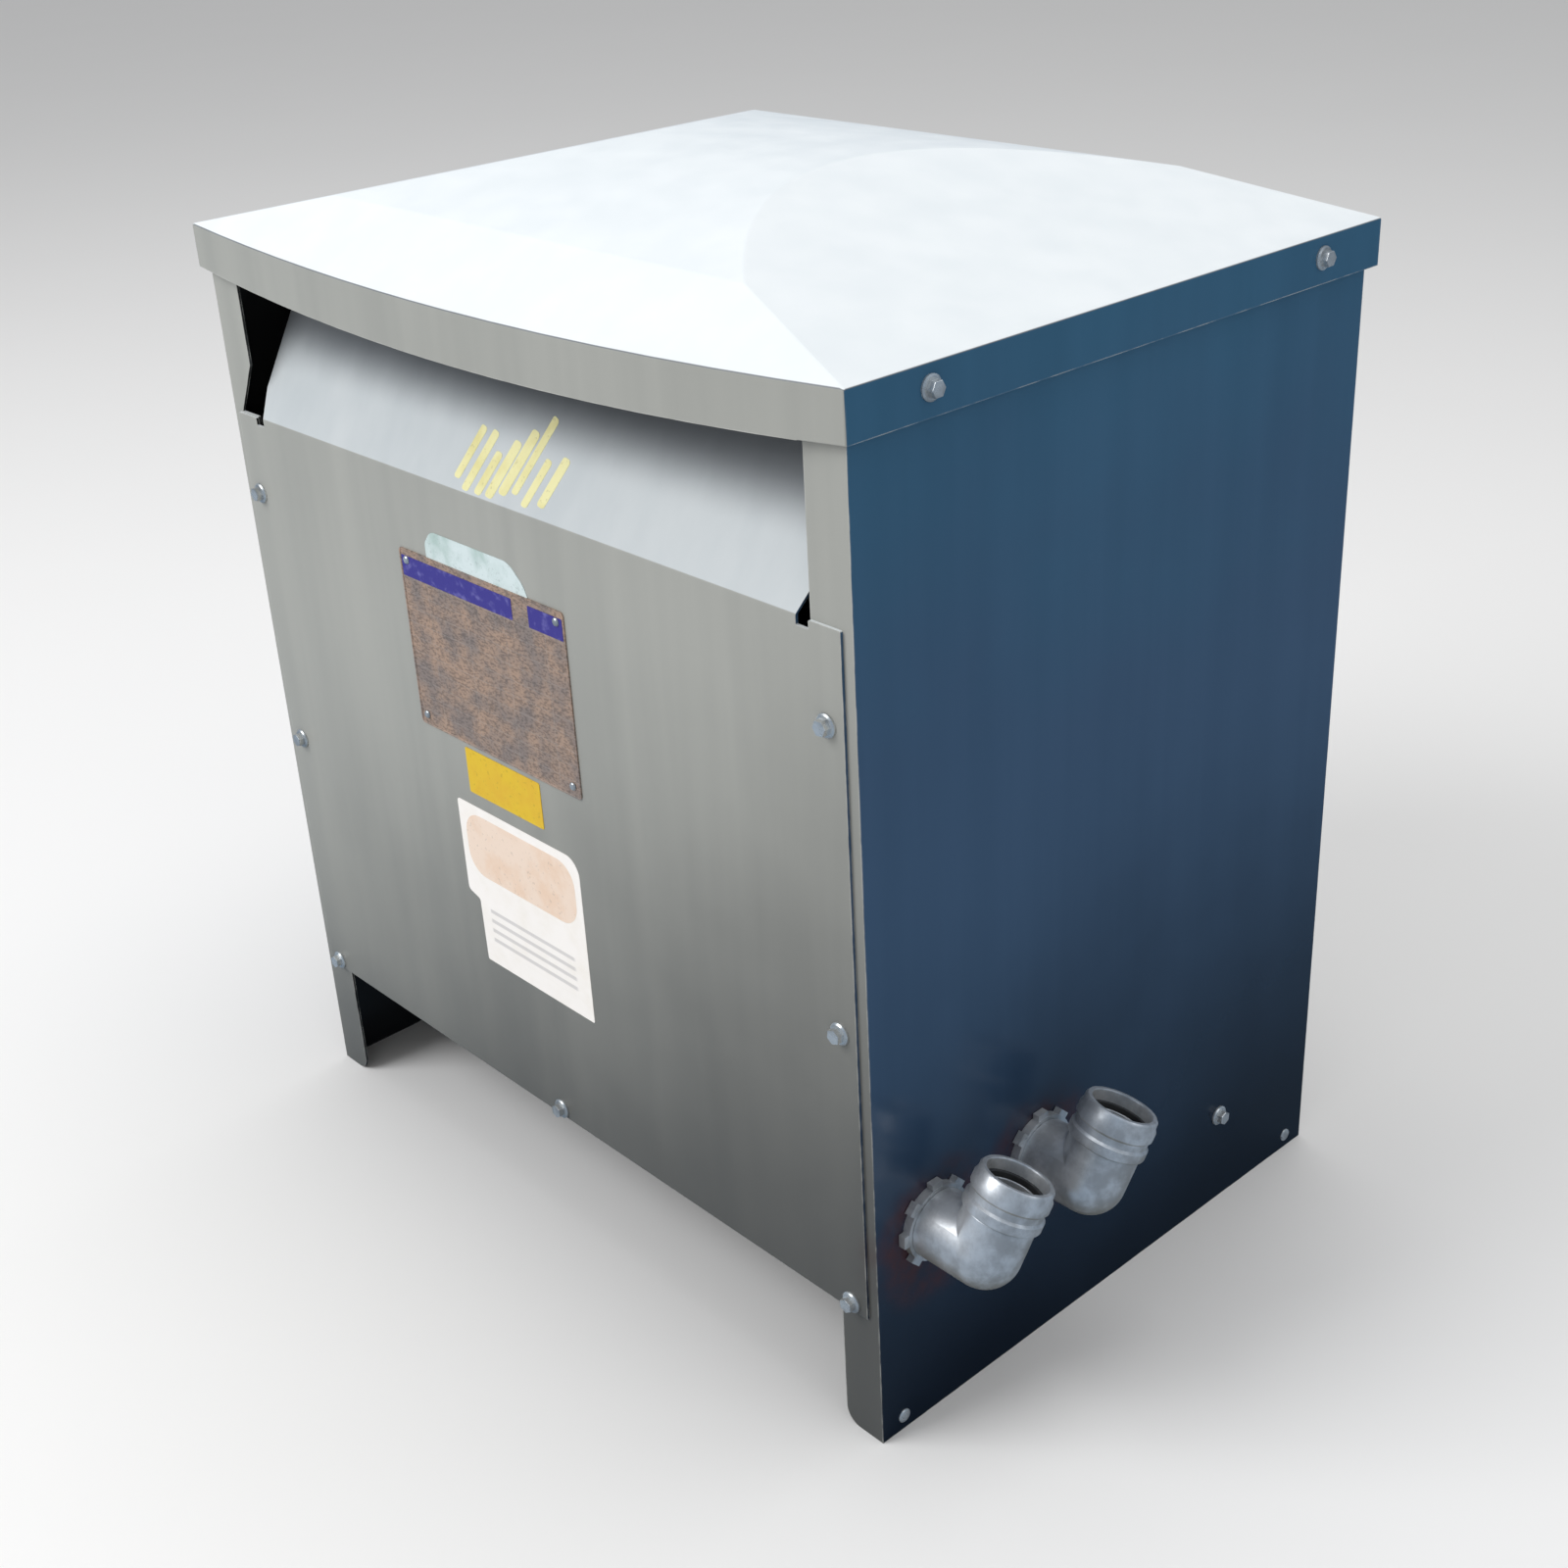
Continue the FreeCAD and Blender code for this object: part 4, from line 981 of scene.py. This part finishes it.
def brush_stroke(bm, width, rise, lean):
    """One slanted dab with blunt ends, standing on the origin and facing forwards."""
    outline = [(0, 0), (width, -0.15 * width), (1.1 * width + lean, rise), (0.1 * width + lean, 1.05 * rise)]
    corners = [0.35 * width, 0.3 * width, 0.4 * width, 0.25 * width]
    thickness = 0.15 * MM
    before = set(bm.verts)
    slab(bm, outline, 0, thickness, corners, 4)
    return [vert for vert in bm.verts if vert not in before]


# ---- conduit elbows ----

def ribbed_profile(inner, lip_inner, outer, start, end, rise):
    """Closed outline of a compression nut: two ribs outside, a thread and a wider lip inside."""
    whole = end - start
    marks = ((0.0, 0.6), (0.04, 1.0), (0.24, 1.0), (0.30, 0.0), (0.46, 0.0),
             (0.52, 0.9), (0.72, 0.9), (0.8, 0.1), (0.94, 0.0), (1.0, -0.8))
    outside = [(outer - rise + rise * lift, start + whole * along) for along, lift in marks]
    lip = end - 0.3 * whole
    mouth = [(lip_inner + 0.4 * rise, end), (lip_inner, end - 0.04 * whole), (lip_inner, lip)]
    return outside + mouth + [(inner, lip), (inner, start)]


def toothed_ring(bm, matrix, bore, radius, thickness, teeth):
    """A flat ring with blunt teeth round its edge."""
    root = 0.86 * radius
    reach = (radius + bore) / 2 - 0.6 * MM
    shape = Matrix.Diagonal((radius - bore, 0.34 * root, 0.86 * thickness, 1.0))
    lathe(bm, [(bore, 0), (root, 0), (root, thickness), (bore, thickness)], matrix, 48)
    for index in range(teeth):
        tooth = bmesh.ops.create_cube(bm, size=1.0)["verts"]
        turn = Matrix.Rotation(2 * math.pi * index / teeth, 4, "Z")
        place = turn @ Matrix.Translation((reach, 0, thickness / 2))
        bmesh.ops.transform(bm, matrix=matrix @ place @ shape, verts=tooth)


class TRANSFORMER_OT_conduit_elbows(bpy.types.Operator):
    """Two cast elbows with toothed rings, ribbed nuts and dark seals"""

    bl_idname = "transformer.conduit_elbows"
    bl_label = "Conduit elbows"

    def execute(self, context):
        look = context.scene.fittings
        mounts = {mount["name"]: mount for mount in frame["record"]["mounts"]}
        for end in ("front", "rear"):
            axis = Vector(mounts["conduit_mouth_" + end]["axis"]).normalized()
            rounded_piece("conduit_elbow_" + end, "_cast", "conduit_zinc", 0.7 * MM)

            low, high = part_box("conduit_nut_" + end)
            centre = (low + high) / 2
            outer, whole = nut_size(high - low, axis)
            bore = mounts["conduit_mouth_" + end]["dims"]["r_mm"] * MM
            wall = 4 * MM
            bm = bmesh.new()
            profile = ribbed_profile(outer - wall, bore, outer, -whole / 2, whole / 2, look.rib_rise)
            lathe(bm, profile, aim(axis, centre), 64)
            piece(bm, "conduit_nut_%s_ribbed" % end, "conduit_zinc", ["conduit_nut_" + end])

            for part in ("ring", "locknut"):
                low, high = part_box("conduit_%s_%s" % (part, end))
                middle = (low + high) / 2
                radius = (high.z - low.z) / 2
                seat = aim((1, 0, 0), Vector((low.x, middle.y, middle.z)))
                bm = bmesh.new()
                toothed_ring(bm, seat, 21 * MM, radius, high.x - low.x, look.teeth)
                node = "conduit_%s_%s" % (part, end)
                piece(bm, node + "_toothed", "conduit_zinc", [node])

            rounded_piece("conduit_seal_" + end, "_rubber", "seal", 0.5 * MM)
        return {"FINISHED"}


def nut_size(span, axis):
    """Radius and length of a cylinder along axis, from the box round it."""
    # each side of the box is length * |axis| + 2 * radius * sin(angle to that side)
    a, b = abs(axis.x), 2 * math.sqrt(max(0.0, 1 - axis.x * axis.x))
    c, d = abs(axis.z), 2 * math.sqrt(max(0.0, 1 - axis.z * axis.z))
    whole = (span.x * d - b * span.z) / (a * d - b * c)
    radius = (a * span.z - span.x * c) / (a * d - b * c)
    return radius, whole


# ---- inside the cabinet ----

class TRANSFORMER_OT_core(bpy.types.Operator):
    """Laminated core, its clamps, tie bolts, base channels and pads"""

    bl_idname = "transformer.core"
    bl_label = "Core and frame"

    def execute(self, context):
        rounded = {
            "laminated_core": ("core_steel", 0.8),
            "base_channel_front": ("frame_steel", 1.0),
            "base_channel_rear": ("frame_steel", 1.0),
            "lower_clamp_front": ("frame_steel", 1.2),
            "lower_clamp_rear": ("frame_steel", 1.2),
            "upper_clamp_front": ("frame_steel", 1.2),
            "upper_clamp_rear": ("frame_steel", 1.2),
            "isolation_pads": ("pad_rubber", 0.8),
            "coil_spacers": ("insulating_board", 0.6),
            "terminal_board": ("insulating_board", 0.8),
        }
        for node, (slot, radius) in rounded.items():
            rounded_piece(node, "_finished", slot, radius * MM)
        dress("clamp_tie_bolts", "zinc_screw")
        return {"FINISHED"}


class TRANSFORMER_OT_coils(bpy.types.Operator):
    """Three windings with rounded, taped ends"""

    bl_idname = "transformer.coils"
    bl_label = "Coils"

    def execute(self, context):
        for side in ("left", "middle", "right"):
            rounded_piece("coil_" + side, "_wound", "varnished_winding", 3 * MM, 3)
        return {"FINISHED"}


class TRANSFORMER_OT_terminals(bpy.types.Operator):
    """Terminal lugs, each with its bolt"""

    bl_idname = "transformer.terminals"
    bl_label = "Terminals"

    def execute(self, context):
        bm = bmesh.new()
        for centre, half in islands("terminal_lugs"):
            block = bmesh.ops.create_cube(bm, size=2.0)["verts"]
            depth = 0.55 * half.y
            shape = Matrix.Diagonal((half.x, depth, half.z, 1.0))
            place = Matrix.Translation((centre.x, centre.y + half.y - depth, centre.z))
            bmesh.ops.transform(bm, matrix=place @ shape, verts=block)
            bevel(bm, list({edge for vert in block for edge in vert.link_edges}), 1.0 * MM, 2)
            face = centre.y + half.y - 2 * depth
            height = face - (centre.y - half.y)
            matrix = aim(FRONT, Vector((centre.x, face, centre.z)))
            hex_head(bm, matrix, 0.8 * half.x, 0.3 * height, 0.55 * half.x, height, 0.4 * MM)
        piece(bm, "terminal_lugs_bolted", "lug_aluminium", ["terminal_lugs"])
        return {"FINISHED"}


# ---- stage ----

def soft_light(name, power, side, place, target):
    """A square softbox aimed at a point."""
    light = bpy.data.lights.new(name, "AREA")
    light.shape = "SQUARE"
    light.size = side
    light.energy = power
    lamp = bpy.data.objects.new(name, light)
    lamp.location = place
    lamp.rotation_mode = "QUATERNION"
    lamp.rotation_quaternion = (Vector(target) - Vector(place)).to_track_quat("-Z", "Y")
    bpy.context.scene.collection.objects.link(lamp)


def make_floor(settings):
    """A large plain floor."""
    bm = bmesh.new()
    bmesh.ops.create_grid(bm, x_segments=8, y_segments=8, size=settings.floor_size / 2)
    mesh = bpy.data.meshes.new("floor")
    bm.to_mesh(mesh)
    bm.free()
    tree, shader = blank_material("floor", Roughness=0.9, Specular_IOR_Level=0.1)
    tone = settings.floor
    base = mix(tree, noise(tree, 2.0), tone, scaled(tone, [0.985] * 3))
    mirrored = add_node(tree, "ShaderNodeLightPath").outputs["Is Glossy Ray"]
    base = mix(tree, mirrored, base, settings.mirrored)
    tree.links.new(base, shader.inputs["Base Color"])
    mesh.materials.append(finishes["floor"])
    floor = bpy.data.objects.new("floor", mesh)
    bpy.context.scene.collection.objects.link(floor)


def make_surroundings(scene, settings):
    """Pale surroundings: white to the eye, softer as light, and dark slate where they mirror in gloss."""
    world = bpy.data.worlds.new("surroundings")
    world.use_nodes = True
    tree = world.node_tree
    background = tree.nodes["Background"]
    path = add_node(tree, "ShaderNodeLightPath")
    lit = mix(tree, path.outputs["Is Glossy Ray"], [settings.sky] * 3, settings.mirrored)
    seen = mix(tree, path.outputs["Is Camera Ray"], lit, (1.0, 1.0, 1.0))
    tree.links.new(seen, background.inputs["Color"])
    scene.world = world


def make_camera(settings):
    """The camera, turned by azimuth, elevation and roll."""
    turn = settings.azimuth
    lift = settings.elevation
    back = Vector((math.sin(turn) * math.cos(lift), -math.cos(turn) * math.cos(lift), math.sin(lift)))
    right = Vector((math.cos(turn), math.sin(turn), 0))
    up = back.cross(right)
    rolled_right = right * math.cos(settings.roll) + up * math.sin(settings.roll)
    rolled_up = up * math.cos(settings.roll) - right * math.sin(settings.roll)
    data = bpy.data.cameras.new("camera")
    data.lens = settings.lens
    data.clip_start = 0.01
    camera = bpy.data.objects.new("camera", data)
    columns = Matrix((rolled_right, rolled_up, back)).transposed()
    camera.matrix_world = Matrix.Translation(settings.place) @ columns.to_4x4()
    bpy.context.scene.collection.objects.link(camera)
    bpy.context.scene.camera = camera


LIGHTS = {
    "key_light": ("key", 2.6, (-1.6, -3.2, 3.2)),
    "side_light": ("fill", 2.0, (3.6, 0.8, 1.8)),
    "top_light": ("top", 2.4, (0.2, 0.6, 3.6)),
}


class TRANSFORMER_OT_stage(bpy.types.Operator):
    """Floor, soft lights, surroundings and camera"""

    bl_idname = "transformer.stage"
    bl_label = "Stage"

    def execute(self, context):
        settings = context.scene.stage
        target = (0, 0, 0.35)
        for name, (power, side, place) in LIGHTS.items():
            soft_light(name, getattr(settings, power), side, place, target)
        make_floor(settings)
        make_camera(settings)
        make_surroundings(context.scene, settings)
        context.scene.view_settings.view_transform = "Standard"
        return {"FINISHED"}


class TRANSFORMER_OT_finishes(bpy.types.Operator):
    """Paints, metals, films and varnishes that the pieces use"""

    bl_idname = "transformer.finishes"
    bl_label = "Finishes"

    def execute(self, context):
        make_finishes()
        return {"FINISHED"}


STEPS = (
    TRANSFORMER_OT_finishes,
    TRANSFORMER_OT_side_panels,
    TRANSFORMER_OT_covers,
    TRANSFORMER_OT_lid,
    TRANSFORMER_OT_screws,
    TRANSFORMER_OT_plate,
    TRANSFORMER_OT_stickers,
    TRANSFORMER_OT_paint_marks,
    TRANSFORMER_OT_conduit_elbows,
    TRANSFORMER_OT_core,
    TRANSFORMER_OT_coils,
    TRANSFORMER_OT_terminals,
    TRANSFORMER_OT_stage,
)


class TRANSFORMER_PT_panel(bpy.types.Panel):
    """Sidebar list of the steps and their settings"""

    bl_idname = "TRANSFORMER_PT_panel"
    bl_label = "Transformer"
    bl_space_type = "VIEW_3D"
    bl_region_type = "UI"
    bl_category = "Transformer"

    def draw(self, context):
        for step in STEPS:
            self.layout.operator(step.bl_idname)
        for name in SETTINGS:
            box = self.layout.box()
            group = getattr(context.scene, name)
            for key in group.__annotations__:
                box.prop(group, key)


def register():
    for group in SETTINGS.values():
        bpy.utils.register_class(group)
    for name, group in SETTINGS.items():
        setattr(bpy.types.Scene, name, bpy.props.PointerProperty(type=group))
    for step in (*STEPS, TRANSFORMER_PT_panel):
        bpy.utils.register_class(step)


def unregister():
    for step in reversed((*STEPS, TRANSFORMER_PT_panel)):
        bpy.utils.unregister_class(step)
    for name in SETTINGS:
        delattr(bpy.types.Scene, name)
    for group in SETTINGS.values():
        bpy.utils.unregister_class(group)


def main():
    """Build every piece."""
    register()
    for step in STEPS:
        family, name = step.bl_idname.split(".")
        getattr(getattr(bpy.ops, family), name)()


if __name__ == "__main__":
    main()
